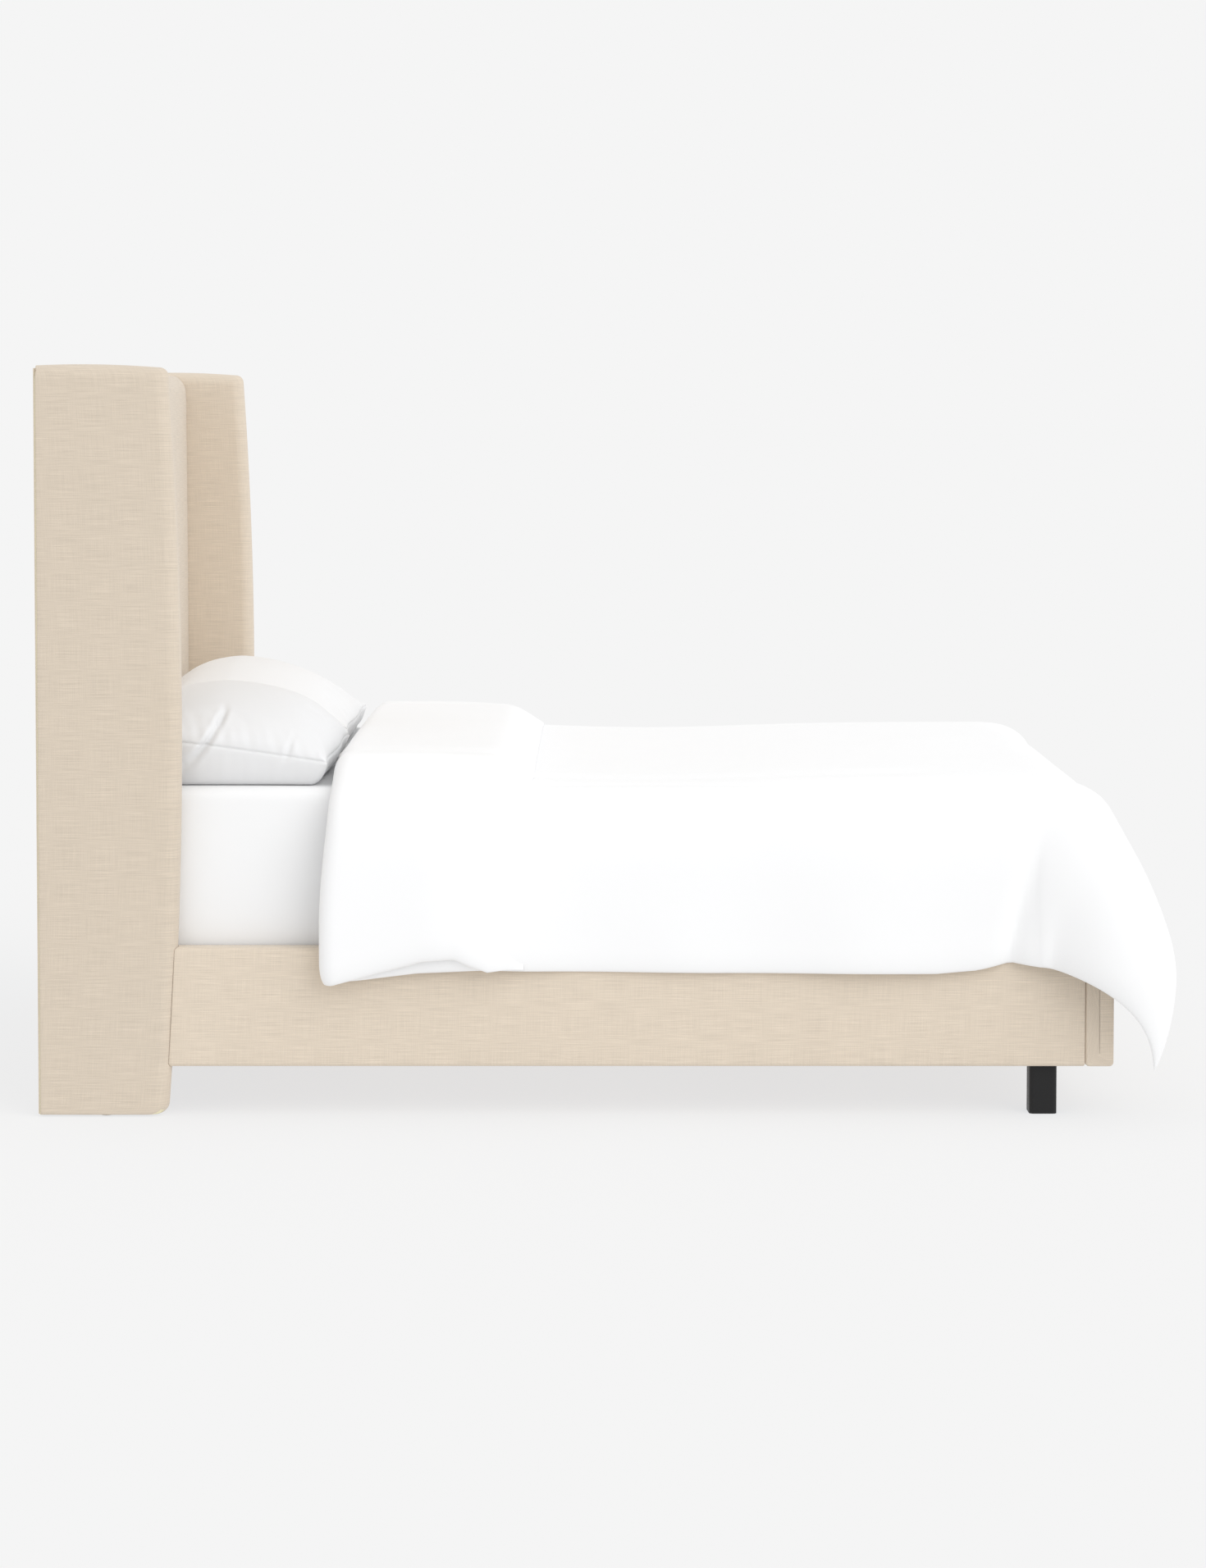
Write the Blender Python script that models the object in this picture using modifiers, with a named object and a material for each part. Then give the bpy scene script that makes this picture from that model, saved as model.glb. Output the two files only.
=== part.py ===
"""Upholstered wingback bed with a slatted base and its bedding.

Every separate piece is one object. +Z is up, the headboard's back is at +Y, the foot at -Y,
and the origin is on the floor under the middle of the bed's box. Lengths are in metres.
"""

import math

import bmesh
import bpy
from mathutils import Vector

# Overall sizes
WIDTH = 1.496
FRAME_LENGTH = 2.100
HEIGHT = 1.468
OVERALL_LENGTH = 2.217
GAP = 0.0003
FIT = 0.0010
LINEN = 0.0015

# Headboard, measured from its back face (depth) and from the floor (height)
WING_THICK = 0.055
WING_DEPTH = 0.279
WING_BELLY_Z = 0.78
WING_CURVE = 0.0495
WING_BASE_Z = 0.003
WING_EDGE_R = 0.0265
WING_CORNER_R = 0.021
WING_STEPS = 10
CROWN_DROP = 0.006
CROWN_DEPTH = 0.09
FOAM = 0.015
BACK_COVER = 0.002
HEADBOARD_FACE = 0.1295
HEADBOARD_BASE_Z = 0.100
HEADBOARD_TOP_Z = 1.460
TOP_CLEAR = 0.020
HEADBOARD_LEAN_Z = 1.000
HEADBOARD_LEAN = 0.0095
HEADBOARD_ROLL = 0.031
HEADBOARD_ROLL_Z = 0.055
FOAM_SLACK = 0.0022
ROLL_STEPS = 5
FACE_PANEL = 0.009
FACE_PANEL_DEPTH = 0.0755
POST_X = 0.065
POST_Y = 0.070
RAIL_Z = 0.075

# Side rails and foot rail
RAIL_BASE_Z = 0.097
RAIL_TOP_Z = 0.331
RAIL_THICK = 0.045
RAIL_INSET = 0.010
RAIL_COVER = 0.006
RAIL_EDGE_R = 0.008
BOARD_EDGE = 0.003
FOOT_THICK = 0.056
LEDGER = 0.030
LEDGER_BASE_Z = 0.138

# Base under the bedding
SLAT_COUNT = 5
SLAT_WIDE = 0.070
SLAT_THICK = 0.019
FIRST_SLAT = 0.320
LAST_SLAT = 2.000
BEAM_WIDE = 0.040
BEAM_DEEP = 0.050
CENTRE_LEG = 0.045
CENTRE_LEG_SLATS = (1, 3)
LEVELLER_STAND = 0.020
LEG_SIDE = 0.054
LEG_EDGE_R = 0.008
LEG_X = 0.689
LEG_DEPTH = 1.965
GLIDE_R = 0.012
WING_GLIDE_DEPTH = 0.130
PLATE = 0.0030
PLATE_Z = (0.205, 0.255)
BOLT_R = 0.004
BOLT_HEAD_R = 0.007
BOLT_HEAD = 0.0035

# Bedding
BOX_SPRING_HALF = 0.683
BOX_SPRING_HEAD = 0.131
BOX_SPRING_FOOT = 2.033
BOX_SPRING_TOP_Z = 0.3165
MATTRESS_HALF = 0.6855
MATTRESS_HEAD = 0.1300
MATTRESS_FOOT = 2.0350
MATTRESS_TOP_Z = 0.640
MATTRESS_R = 0.032
PILLOW_HALF = (0.334, 0.212, 0.090)
PILLOW_X = 0.3395
PILLOW_DEPTH = 0.3435
PILLOW_POWER = 2.6
DUVET_HEAD = 0.566
DUVET_FOLD = 0.960
DUVET_TOP = 0.030
DUVET_FOLDED = 0.085
DUVET_SIDE = 0.026
DUVET_DROP = 0.400
DUVET_HALF_OUT = 0.742
DUVET_FOOT_OUT = 2.106
DUVET_SHOULDER = 0.085
DUVET_SHOULDER_SAVED = 0.045
DUVET_BELLY = 0.420
DUVET_FLARE_X = 0.090
DUVET_FLARE_Y = 0.1048

HALF = WIDTH / 2
WING_IN = HALF - WING_THICK
RAIL_OUT = HALF - RAIL_INSET
RAIL_IN = RAIL_OUT - RAIL_THICK
SIDES = (("left", -1), ("right", 1))
BED = "upholstered_bed"


def back(depth):
    """The Y place of a point this far ahead of the headboard's back face."""
    return OVERALL_LENGTH / 2 - depth


def wing_depth(z):
    """How deep a wing is at a height: a parabola, deepest a little over the mattress."""
    return WING_DEPTH - WING_CURVE * (z - WING_BELLY_Z) ** 2


def clear_scene():
    for obj in list(bpy.data.objects):
        bpy.data.objects.remove(obj, do_unlink=True)


def new_collection(name):
    collection = bpy.data.collections.new(name)
    bpy.context.scene.collection.children.link(collection)
    return collection


def finish_material(name, color, roughness, metallic=0.0):
    material = bpy.data.materials.new(name)
    material.use_nodes = True
    shader = material.node_tree.nodes["Principled BSDF"]
    shader.inputs["Base Color"].default_value = (*color, 1.0)
    shader.inputs["Roughness"].default_value = roughness
    shader.inputs["Metallic"].default_value = metallic
    return material


FINISHES = {
    "linen": ((0.70, 0.60, 0.48), 0.95, 0.0),
    "timber": ((0.62, 0.46, 0.29), 0.70, 0.0),
    "plywood": ((0.66, 0.51, 0.34), 0.65, 0.0),
    "foam": ((0.86, 0.80, 0.58), 0.95, 0.0),
    "black_leg": ((0.03, 0.03, 0.03), 0.45, 0.0),
    "black_steel": ((0.05, 0.05, 0.05), 0.45, 1.0),
    "zinc": ((0.62, 0.63, 0.65), 0.35, 1.0),
    "nylon": ((0.08, 0.08, 0.08), 0.55, 0.0),
    "ticking": ((0.86, 0.86, 0.84), 0.90, 0.0),
    "sheet": ((0.92, 0.92, 0.92), 0.85, 0.0),
    "down": ((0.90, 0.89, 0.86), 0.95, 0.0),
    "duvet": ((0.94, 0.94, 0.94), 0.88, 0.0),
}


def add_object(name, bm, finish, place=(0, 0, 0), parent=None):
    """A mesh object from a bmesh, with its own material of a finish."""
    mesh = bpy.data.meshes.new(name)
    bm.to_mesh(mesh)
    bm.free()
    obj = bpy.data.objects.new(name, mesh)
    bpy.data.collections[BED].objects.link(obj)
    obj.location = place
    obj.parent = parent
    obj.data.materials.append(finish_material(name + "_" + finish, *FINISHES[finish]))
    return obj


def add_frame(name, place, parent=None):
    """An empty that carries the pieces which lift or turn together."""
    empty = bpy.data.objects.new(name, None)
    bpy.data.collections[BED].objects.link(empty)
    empty.location = place
    empty.parent = parent
    return empty


def block_mesh(size, edge=0.0, segments=2, along=None):
    """A block centred on its own origin, with rounded edges where asked."""
    bm = bmesh.new()
    bmesh.ops.create_cube(bm, size=1.0)
    bmesh.ops.scale(bm, vec=Vector(size), verts=bm.verts)
    if edge:
        edges = [e for e in bm.edges if along is None or runs_along(e, along)]
        bmesh.ops.bevel(bm, geom=edges, offset=edge, segments=segments, profile=0.5, affect="EDGES")
    return bm


def runs_along(edge, direction):
    step = edge.verts[1].co - edge.verts[0].co
    return abs(step.dot(Vector(direction))) > 0.9 * step.length


def block(name, low, high, finish, parent=None, **rounding):
    """A block between two corners, given as (x, depth, z) with depth from the headboard's back."""
    size = [abs(high[i] - low[i]) for i in range(3)]
    middle = [(high[i] + low[i]) / 2 for i in range(3)]
    bm = block_mesh(size, **rounding)
    place = (middle[0], back(middle[1]), middle[2])
    if parent is not None:
        place = Vector(place) - world_place(parent)
    return add_object(name, bm, finish, place, parent)


def world_place(obj):
    place = Vector(obj.location)
    while obj.parent is not None:
        obj = obj.parent
        place += Vector(obj.location)
    return place


def open_shell(obj, direction, wall):
    """Takes off the faces that look in one direction and gives the rest a wall, inwards."""
    mesh = obj.data
    bm = bmesh.new()
    bm.from_mesh(mesh)
    bm.normal_update()
    facing = [f for f in bm.faces if any(f.normal.dot(Vector(d)) > 0.999 for d in direction)]
    bmesh.ops.delete(bm, geom=facing, context="FACES")
    bm.to_mesh(mesh)
    bm.free()
    wall_modifier = obj.modifiers.new("wall", "SOLIDIFY")
    wall_modifier.thickness = wall
    wall_modifier.offset = -1.0
    wall_modifier.use_even_offset = True
    return obj


def arc(centre, radius, start, end, steps=3):
    """Points of an arc as (depth, z), between two angles in degrees."""
    angles = [math.radians(start + (end - start) * i / steps) for i in range(steps + 1)]
    return [(centre[0] + radius * math.cos(a), centre[1] + radius * math.sin(a)) for a in angles]


def wing_outline(inset, rounding, reach_back, reach_down):
    """The wing's outline as (depth, z): crowned top, curved front edge, straight back and base.

    Inset draws it in all round, and rounding draws in the front and the top only.
    """
    drawn = inset + rounding
    low = WING_BASE_Z + inset - reach_down
    high = HEIGHT - CROWN_DROP - drawn
    rear = inset - reach_back
    radius = max(WING_CORNER_R - drawn, 0.004)
    points = [(rear, low)]
    points += arc((wing_depth(low + radius) - drawn - radius, low + radius), radius, -90, 0)
    run = high - low - 2 * radius
    for step in range(1, WING_STEPS):
        z = low + radius + run * step / WING_STEPS
        points.append((wing_depth(z) - drawn, z))
    points += arc((wing_depth(high) - drawn - radius, high - radius), radius, 0, 90)
    top_rear = points[-1][0]
    for share in (0.75, 0.5, 0.25, 0.0):
        depth = top_rear * share
        lift = CROWN_DROP * (1.0 - ((depth - CROWN_DEPTH) / (top_rear - CROWN_DEPTH)) ** 2)
        points.append((depth, high + lift))
    if rear < 0.0:
        points.append((rear, points[-1][1]))
    return points


def wing_levels(thickness, edge):
    """Places across the slab and how far its rim is drawn in at each: a quarter round each side."""
    half = thickness / 2
    if not edge:
        return [(-half, 0.0), (half, 0.0)]
    steps = [math.radians(angle) for angle in (90, 60, 30, 0)]
    near = [(half - edge + edge * math.sin(a), edge * (1 - math.cos(a))) for a in steps]
    return [(-across, drawn) for across, drawn in near] + near[::-1]


def wing_slab(name, side, inset, thickness, finish, reach_back=0.0, reach_down=0.0, edge=0.0):
    """A slab lofted across X through rings of the wing's outline, its front and top rounded."""
    middle = side * (HALF - WING_THICK / 2)
    setback = BACK_COVER + GAP
    bm = bmesh.new()
    rings = []
    for across, rounding in wing_levels(thickness, edge):
        outline = wing_outline(inset, rounding, reach_back, reach_down)
        rings.append([bm.verts.new((middle + across, back(d + setback), z)) for d, z in outline])
    for first, second in zip(rings, rings[1:]):
        for i in range(len(first)):
            bm.faces.new((first[i - 1], first[i], second[i], second[i - 1]))
    bm.faces.new(rings[0])
    bm.faces.new(rings[-1])
    bmesh.ops.recalc_face_normals(bm, faces=bm.faces)
    return add_object(name, bm, finish)


def cut(obj, cutter):
    """Takes a cutter's shape out of an object, with the exact solver."""
    modifier = obj.modifiers.new("cut_" + cutter.name, "BOOLEAN")
    modifier.operation = "DIFFERENCE"
    modifier.solver = "EXACT"
    modifier.object = cutter
    return obj


def as_cutter(obj):
    obj.hide_render = True
    obj.display_type = "WIRE"
    bpy.data.collections[BED].objects.unlink(obj)
    bpy.data.collections["cutters"].objects.link(obj)
    return obj


def drill(name, centre, axis, radius, length, targets):
    """A round hole through every target, on one axis."""
    rod_object = rod(name, centre, axis, radius, length, "zinc")
    for target in targets:
        cut(target, as_cutter(rod_object) if rod_object.display_type != "WIRE" else rod_object)


def rod(name, centre, axis, radius, length, finish, sides=12):
    bm = bmesh.new()
    bmesh.ops.create_cone(bm, cap_ends=True, segments=sides, radius1=radius, radius2=radius, depth=length)
    obj = add_object(name, bm, finish, centre)
    obj.rotation_mode = "QUATERNION"
    obj.rotation_quaternion = Vector((0, 0, 1)).rotation_difference(Vector(axis))
    return obj


def turned(name, profile, finish, place, parent=None, sides=16):
    """A turned piece: (radius, z) pairs from the top down, spun about its own Z axis."""
    bm = bmesh.new()
    points = [bm.verts.new((radius, 0.0, z)) for radius, z in profile]
    for first, second in zip(points, points[1:]):
        bm.edges.new((first, second))
    bmesh.ops.spin(
        bm,
        geom=bm.verts[:] + bm.edges[:],
        cent=(0, 0, 0),
        axis=(0, 0, 1),
        angle=math.tau,
        steps=sides,
        use_merge=True,
    )
    bmesh.ops.remove_doubles(bm, verts=bm.verts, dist=1e-6)
    bmesh.ops.recalc_face_normals(bm, faces=bm.faces)
    return add_object(name, bm, finish, place, parent)


def bolt(name, head_centre, axis, shank, finish="zinc"):
    """A round-headed bolt: its head's inner face at head_centre, its shank along axis."""
    profile = [
        (0.0, BOLT_HEAD),
        (BOLT_HEAD_R * 0.7, BOLT_HEAD),
        (BOLT_HEAD_R, BOLT_HEAD * 0.35),
        (BOLT_HEAD_R, 0.0),
        (BOLT_R, 0.0),
        (BOLT_R, -shank),
        (0.0, -shank),
    ]
    obj = turned(name, profile, finish, head_centre, sides=12)
    obj.rotation_mode = "QUATERNION"
    obj.rotation_quaternion = Vector((0, 0, -1)).rotation_difference(Vector(axis))
    return obj


def build_wings():
    """Board, foam wrap and linen cover of each wing, one inside the next."""
    wings = {}
    foam_inset = LINEN + GAP
    hollow_inset = foam_inset + FOAM
    board_inset = hollow_inset + FIT
    for side_name, side in SIDES:
        name = f"wing_{side_name}"
        cover = wing_slab(f"{name}_cover", side, 0.0, WING_THICK, "linen", edge=WING_EDGE_R)
        inside = wing_slab(
            f"{name}_cover_inside", side, LINEN, WING_THICK - 2 * LINEN, "foam",
            reach_back=0.02, edge=WING_EDGE_R - LINEN,
        )
        cut(cover, as_cutter(inside))
        foam = wing_slab(
            f"{name}_foam", side, foam_inset, WING_THICK - 2 * foam_inset, "foam",
            reach_back=foam_inset, edge=WING_EDGE_R - foam_inset,
        )
        hollow = wing_slab(
            f"{name}_foam_inside", side, hollow_inset, WING_THICK - 2 * hollow_inset, "plywood",
            reach_back=0.04, reach_down=0.06,
        )
        cut(foam, as_cutter(hollow))
        board = wing_slab(
            f"{name}_board", side, board_inset, WING_THICK - 2 * board_inset, "plywood",
            reach_back=board_inset, reach_down=board_inset - foam_inset,
        )
        wings[side_name] = (cover, foam, board)
    return wings


def headboard_pad(name, half, rear, finish, inset=0.0, base=0.0):
    """The headboard's pad, extruded across the bed: its face leans back and rolls over the top."""
    face = HEADBOARD_FACE - inset
    low = HEADBOARD_BASE_Z + base
    high = HEADBOARD_TOP_Z - inset
    points = [(rear, low), (face, low), (face, HEADBOARD_LEAN_Z)]
    for step in range(ROLL_STEPS + 1):
        turn = math.pi / 2 * step / ROLL_STEPS
        depth = face - HEADBOARD_LEAN - HEADBOARD_ROLL * (1.0 - math.cos(turn))
        points.append((depth, high - HEADBOARD_ROLL_Z * (1.0 - math.sin(turn))))
    points.append((rear, high))
    bm = bmesh.new()
    ends = [[bm.verts.new((x, back(d), z)) for d, z in points] for x in (-half, half)]
    for i in range(len(points)):
        bm.faces.new((ends[0][i - 1], ends[0][i], ends[1][i], ends[1][i - 1]))
    bm.faces.new(ends[0])
    bm.faces.new(ends[1])
    bmesh.ops.recalc_face_normals(bm, faces=bm.faces)
    return add_object(name, bm, finish)


def build_headboard():
    """Timber posts and rails, plywood face, foam, linen cover and the linen back."""
    front = FACE_PANEL_DEPTH - GAP
    rear = front - POST_Y
    inner = WING_IN - GAP - LINEN - FIT
    for side_name, side in SIDES:
        block(
            f"headboard_post_{side_name}",
            (side * (inner - POST_X), rear, WING_BASE_Z),
            (side * inner, front, HEADBOARD_TOP_Z - TOP_CLEAR),
            "timber",
        )
    rails = (("top", HEADBOARD_TOP_Z - TOP_CLEAR - RAIL_Z), ("middle", 0.72), ("bottom", 0.17))
    for rail_name, low in rails:
        half = inner - POST_X - GAP
        block(
            f"headboard_{rail_name}_rail",
            (-half, rear + 0.010, low),
            (half, front, low + RAIL_Z),
            "timber",
        )
    foam_back = FACE_PANEL_DEPTH + FACE_PANEL + GAP
    block(
        "headboard_face_panel",
        (-inner, FACE_PANEL_DEPTH, HEADBOARD_BASE_Z + TOP_CLEAR),
        (inner, FACE_PANEL_DEPTH + FACE_PANEL, HEADBOARD_TOP_Z - TOP_CLEAR),
        "plywood",
    )
    foam_base = LINEN + GAP
    headboard_pad("headboard_foam", inner, foam_back, "foam", LINEN + FOAM_SLACK, foam_base)
    cover = headboard_pad("headboard_cover", WING_IN - GAP, BACK_COVER + GAP, "linen")
    open_shell(cover, [(0, 1, 0), (0, 0, -1)], LINEN)
    block(
        "headboard_back_cover",
        (-HALF + 0.002, 0.0, WING_BASE_Z + 0.003),
        (HALF - 0.002, BACK_COVER, HEADBOARD_TOP_Z),
        "linen",
    )


def build_rails(wings):
    """Side rails and foot rail: a timber board inside a padded linen cover."""
    foot_in = FRAME_LENGTH - FOOT_THICK
    made = {}
    for side_name, side in SIDES:
        cover = block(
            f"side_rail_{side_name}_cover",
            (side * RAIL_IN, wing_depth(RAIL_BASE_Z) - 0.012, RAIL_BASE_Z),
            (side * RAIL_OUT, foot_in - GAP, RAIL_TOP_Z),
            "linen",
            edge=RAIL_EDGE_R,
            along=(0, 1, 0),
        )
        open_shell(cover, [(0, 1, 0), (0, -1, 0)], RAIL_COVER)
        clearance = wing_slab(
            f"wing_{side_name}_clearance", side, -2 * GAP, WING_THICK + 4 * GAP, "foam",
            edge=WING_EDGE_R,
        )
        cut(cover, as_cutter(clearance))
        board_in = RAIL_COVER + GAP
        board = block(
            f"side_rail_{side_name}_board",
            (side * (RAIL_IN + board_in), wing_depth(RAIL_TOP_Z) + 0.004, RAIL_BASE_Z + board_in),
            (side * (RAIL_OUT - board_in), foot_in - GAP, RAIL_TOP_Z - board_in),
            "timber", edge=BOARD_EDGE, segments=1,
        )
        made[side_name] = (cover, board)
        block(
            f"ledger_{side_name}",
            (side * (RAIL_IN - GAP - LEDGER), wing_depth(RAIL_TOP_Z) + 0.010, LEDGER_BASE_Z),
            (side * (RAIL_IN - GAP), foot_in - 0.004, LEDGER_BASE_Z + LEDGER),
            "timber",
        )
    foot_cover = block(
        "foot_rail_cover",
        (-RAIL_OUT, foot_in, RAIL_BASE_Z),
        (RAIL_OUT, FRAME_LENGTH, RAIL_TOP_Z),
        "linen",
        edge=RAIL_EDGE_R,
    )
    open_shell(foot_cover, [(0, 1, 0)], RAIL_COVER)
    foot_board = block(
        "foot_rail_board",
        (-RAIL_OUT + RAIL_COVER + GAP, foot_in + RAIL_COVER + GAP, RAIL_BASE_Z + RAIL_COVER + GAP),
        (RAIL_OUT - RAIL_COVER - GAP, FRAME_LENGTH - RAIL_COVER - GAP, RAIL_TOP_Z - RAIL_COVER - GAP),
        "timber", edge=BOARD_EDGE, segments=1,
    )
    made["foot"] = (foot_cover, foot_board)
    return made


def slat_depths():
    step = (LAST_SLAT - FIRST_SLAT) / (SLAT_COUNT - 1)
    return [FIRST_SLAT + step * i for i in range(SLAT_COUNT)]


def build_base():
    """Slats on the ledgers, the centre beam with its two legs, and the legs' levellers."""
    slat_z = LEDGER_BASE_Z + LEDGER + GAP
    for number, depth in enumerate(slat_depths(), start=1):
        block(
            f"slat_{number}",
            (-RAIL_IN + 0.004, depth - SLAT_WIDE / 2, slat_z),
            (RAIL_IN - 0.004, depth + SLAT_WIDE / 2, slat_z + SLAT_THICK),
            "plywood",
        )
    beam_top = slat_z - GAP
    block(
        "centre_beam",
        (-BEAM_WIDE / 2, HEADBOARD_FACE + 0.002, beam_top - BEAM_DEEP),
        (BEAM_WIDE / 2, FRAME_LENGTH - FOOT_THICK - 0.002, beam_top),
        "timber",
    )
    leg_top = beam_top - BEAM_DEEP - GAP
    for place, index in zip(("head", "foot"), CENTRE_LEG_SLATS):
        depth = slat_depths()[index]
        half = CENTRE_LEG / 2
        leg = block(
            f"centre_leg_{place}",
            (-half, depth - half, LEVELLER_STAND),
            (half, depth + half, leg_top),
            "timber",
        )
        axis_place = (0.0, back(depth), 0.0)
        hole_top = LEVELLER_STAND + 0.070
        drill(
            f"centre_leg_{place}_bore", (0.0, back(depth), hole_top / 2), (0, 0, 1),
            BOLT_R + GAP, hole_top, [leg],
        )
        joint = add_frame(f"leveller_{place}_axis", axis_place)
        stand = LEVELLER_STAND - 0.001
        profile = [
            (0.0, hole_top - 0.005),
            (BOLT_R, hole_top - 0.005),
            (BOLT_R, stand),
            (0.009, stand),
            (0.009, stand - 0.007),
            (0.018, 0.006),
            (0.018, 0.0),
            (0.0, 0.0),
        ]
        turned(f"leveller_{place}", profile, "nylon", (0, 0, 0), joint, sides=16)


def build_feet():
    """Block legs under corner blocks, each on a long bolt, and the headboard's glides."""
    half = LEG_SIDE / 2
    for side_name, side in SIDES:
        block_low = RAIL_BASE_Z + GAP
        corner = block(
            f"corner_block_{side_name}",
            (side * (RAIL_IN - GAP - 0.064), LEG_DEPTH - 0.040, block_low),
            (side * (RAIL_IN - GAP), LEG_DEPTH + 0.040, LEDGER_BASE_Z - GAP),
            "timber",
        )
        leg = block(
            f"leg_{side_name}",
            (side * (LEG_X - half), LEG_DEPTH - half, 0.0),
            (side * (LEG_X + half), LEG_DEPTH + half, RAIL_BASE_Z - GAP),
            "black_leg",
            edge=LEG_EDGE_R,
            segments=3,
            along=(0, 0, 1),
        )
        bolt_x = side * (LEG_X - 0.012)
        low, high = 0.050, 0.130
        drill(
            f"leg_{side_name}_bore", (bolt_x, back(LEG_DEPTH), (low + high) / 2), (0, 0, 1),
            BOLT_R + GAP, high - low + 0.004, [leg, corner],
        )
        rod(
            f"leg_bolt_{side_name}", (bolt_x, back(LEG_DEPTH), (low + high) / 2), (0, 0, 1),
            BOLT_R, high - low, "zinc",
        )
        height = WING_BASE_Z - GAP
        rod(
            f"wing_glide_{side_name}",
            (side * (HALF - WING_THICK / 2), back(WING_GLIDE_DEPTH), height / 2), (0, 0, 1),
            GLIDE_R, height, "nylon", sides=16,
        )


def build_fittings(wings, rails):
    """Steel plates that join the side rails to the wings and to the foot rail, and their bolts."""
    middle_z = sum(PLATE_Z) / 2
    foot_in = FRAME_LENGTH - FOOT_THICK
    for side_name, side in SIDES:
        outer = RAIL_IN - GAP
        wing_hole = wing_depth(middle_z) - 0.060
        rail_hole = wing_depth(middle_z) + 0.060
        plate = block(
            f"head_plate_{side_name}",
            (side * (outer - PLATE), wing_hole - 0.030, PLATE_Z[0]),
            (side * outer, rail_hole + 0.030, PLATE_Z[1]),
            "black_steel",
        )
        wing_pieces = list(wings[side_name])
        rail_pieces = list(rails[side_name])
        holes = (("wing", wing_hole, wing_pieces), ("rail", rail_hole, rail_pieces))
        for hole_name, depth, pieces in holes:
            head = (side * (outer - PLATE - GAP), back(depth), middle_z)
            shank = 0.034
            drill(
                f"head_{hole_name}_bore_{side_name}",
                (side * (outer + 0.012), back(depth), middle_z),
                (1, 0, 0), BOLT_R + GAP, 0.055, [plate] + pieces,
            )
            bolt(f"head_{hole_name}_bolt_{side_name}", head, (side, 0, 0), shank)
        corner = foot_plate(side_name, side, outer, foot_in - GAP)
        drill(
            f"foot_bore_{side_name}", (side * (outer - 0.030), back(foot_in + 0.012), middle_z),
            (0, 1, 0), BOLT_R + GAP, 0.055, [corner] + list(rails["foot"]),
        )
        head = (side * (outer - 0.030), back(foot_in - GAP - PLATE - GAP), middle_z)
        bolt(f"foot_bolt_{side_name}", head, (0, -1, 0), 0.034)


def foot_plate(side_name, side, outer, inner_face):
    """An angle of steel plate in the corner between a side rail and the foot rail."""
    reach = 0.055
    curve = bpy.data.curves.new(f"foot_plate_{side_name}_outline", "CURVE")
    curve.dimensions = "2D"
    curve.fill_mode = "BOTH"
    curve.extrude = (PLATE_Z[1] - PLATE_Z[0]) / 2
    corners = [
        (0.0, 0.0), (-reach, 0.0), (-reach, PLATE), (-PLATE, PLATE), (-PLATE, reach), (0.0, reach),
    ]
    spline = curve.splines.new("POLY")
    spline.points.add(len(corners) - 1)
    for point, (across, along) in zip(spline.points, corners):
        point.co = (side * (outer + across), back(inner_face - along), 0.0, 1.0)
    spline.use_cyclic_u = True
    flat = bpy.data.objects.new(f"foot_plate_{side_name}_curve", curve)
    bpy.context.scene.collection.objects.link(flat)
    bpy.context.view_layer.update()
    evaluated = flat.evaluated_get(bpy.context.evaluated_depsgraph_get())
    mesh = bpy.data.meshes.new_from_object(evaluated)
    bpy.data.objects.remove(flat, do_unlink=True)
    bm = bmesh.new()
    bm.from_mesh(mesh)
    bmesh.ops.remove_doubles(bm, verts=bm.verts, dist=1e-6)
    bmesh.ops.recalc_face_normals(bm, faces=bm.faces)
    place = (0.0, 0.0, sum(PLATE_Z) / 2)
    return add_object(f"foot_plate_{side_name}", bm, "black_steel", place)


def build_mattress():
    """Box spring, mattress and fitted sheet, on frames that lift them straight up."""
    box_low = LEDGER_BASE_Z + LEDGER + GAP + SLAT_THICK + GAP
    spring = add_frame("box_spring_lift", (0.0, 0.0, box_low))
    shell = block(
        "box_spring_cover",
        (-BOX_SPRING_HALF, BOX_SPRING_HEAD, box_low),
        (BOX_SPRING_HALF, BOX_SPRING_FOOT, BOX_SPRING_TOP_Z),
        "ticking", spring, edge=0.012,
    )
    open_shell(shell, [(0, 0, -1)], LINEN)
    wall = LINEN + GAP
    block(
        "box_spring_core",
        (-BOX_SPRING_HALF + wall, BOX_SPRING_HEAD + wall, box_low + wall),
        (BOX_SPRING_HALF - wall, BOX_SPRING_FOOT - wall, BOX_SPRING_TOP_Z - wall),
        "timber", spring, edge=0.012 - wall,
    )
    mattress_low = BOX_SPRING_TOP_Z + GAP
    lift = add_frame("mattress_lift", (0.0, 0.0, mattress_low - box_low), spring)
    sheet = block(
        "fitted_sheet",
        (-MATTRESS_HALF, MATTRESS_HEAD, mattress_low),
        (MATTRESS_HALF, MATTRESS_FOOT, MATTRESS_TOP_Z),
        "sheet", lift, edge=MATTRESS_R, segments=4,
    )
    open_shell(sheet, [(0, 0, -1)], LINEN)
    block(
        "mattress",
        (-MATTRESS_HALF + wall, MATTRESS_HEAD + wall, mattress_low + wall),
        (MATTRESS_HALF - wall, MATTRESS_FOOT - wall, MATTRESS_TOP_Z - wall),
        "ticking", lift, edge=MATTRESS_R - wall, segments=4,
    )
    return lift


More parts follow.
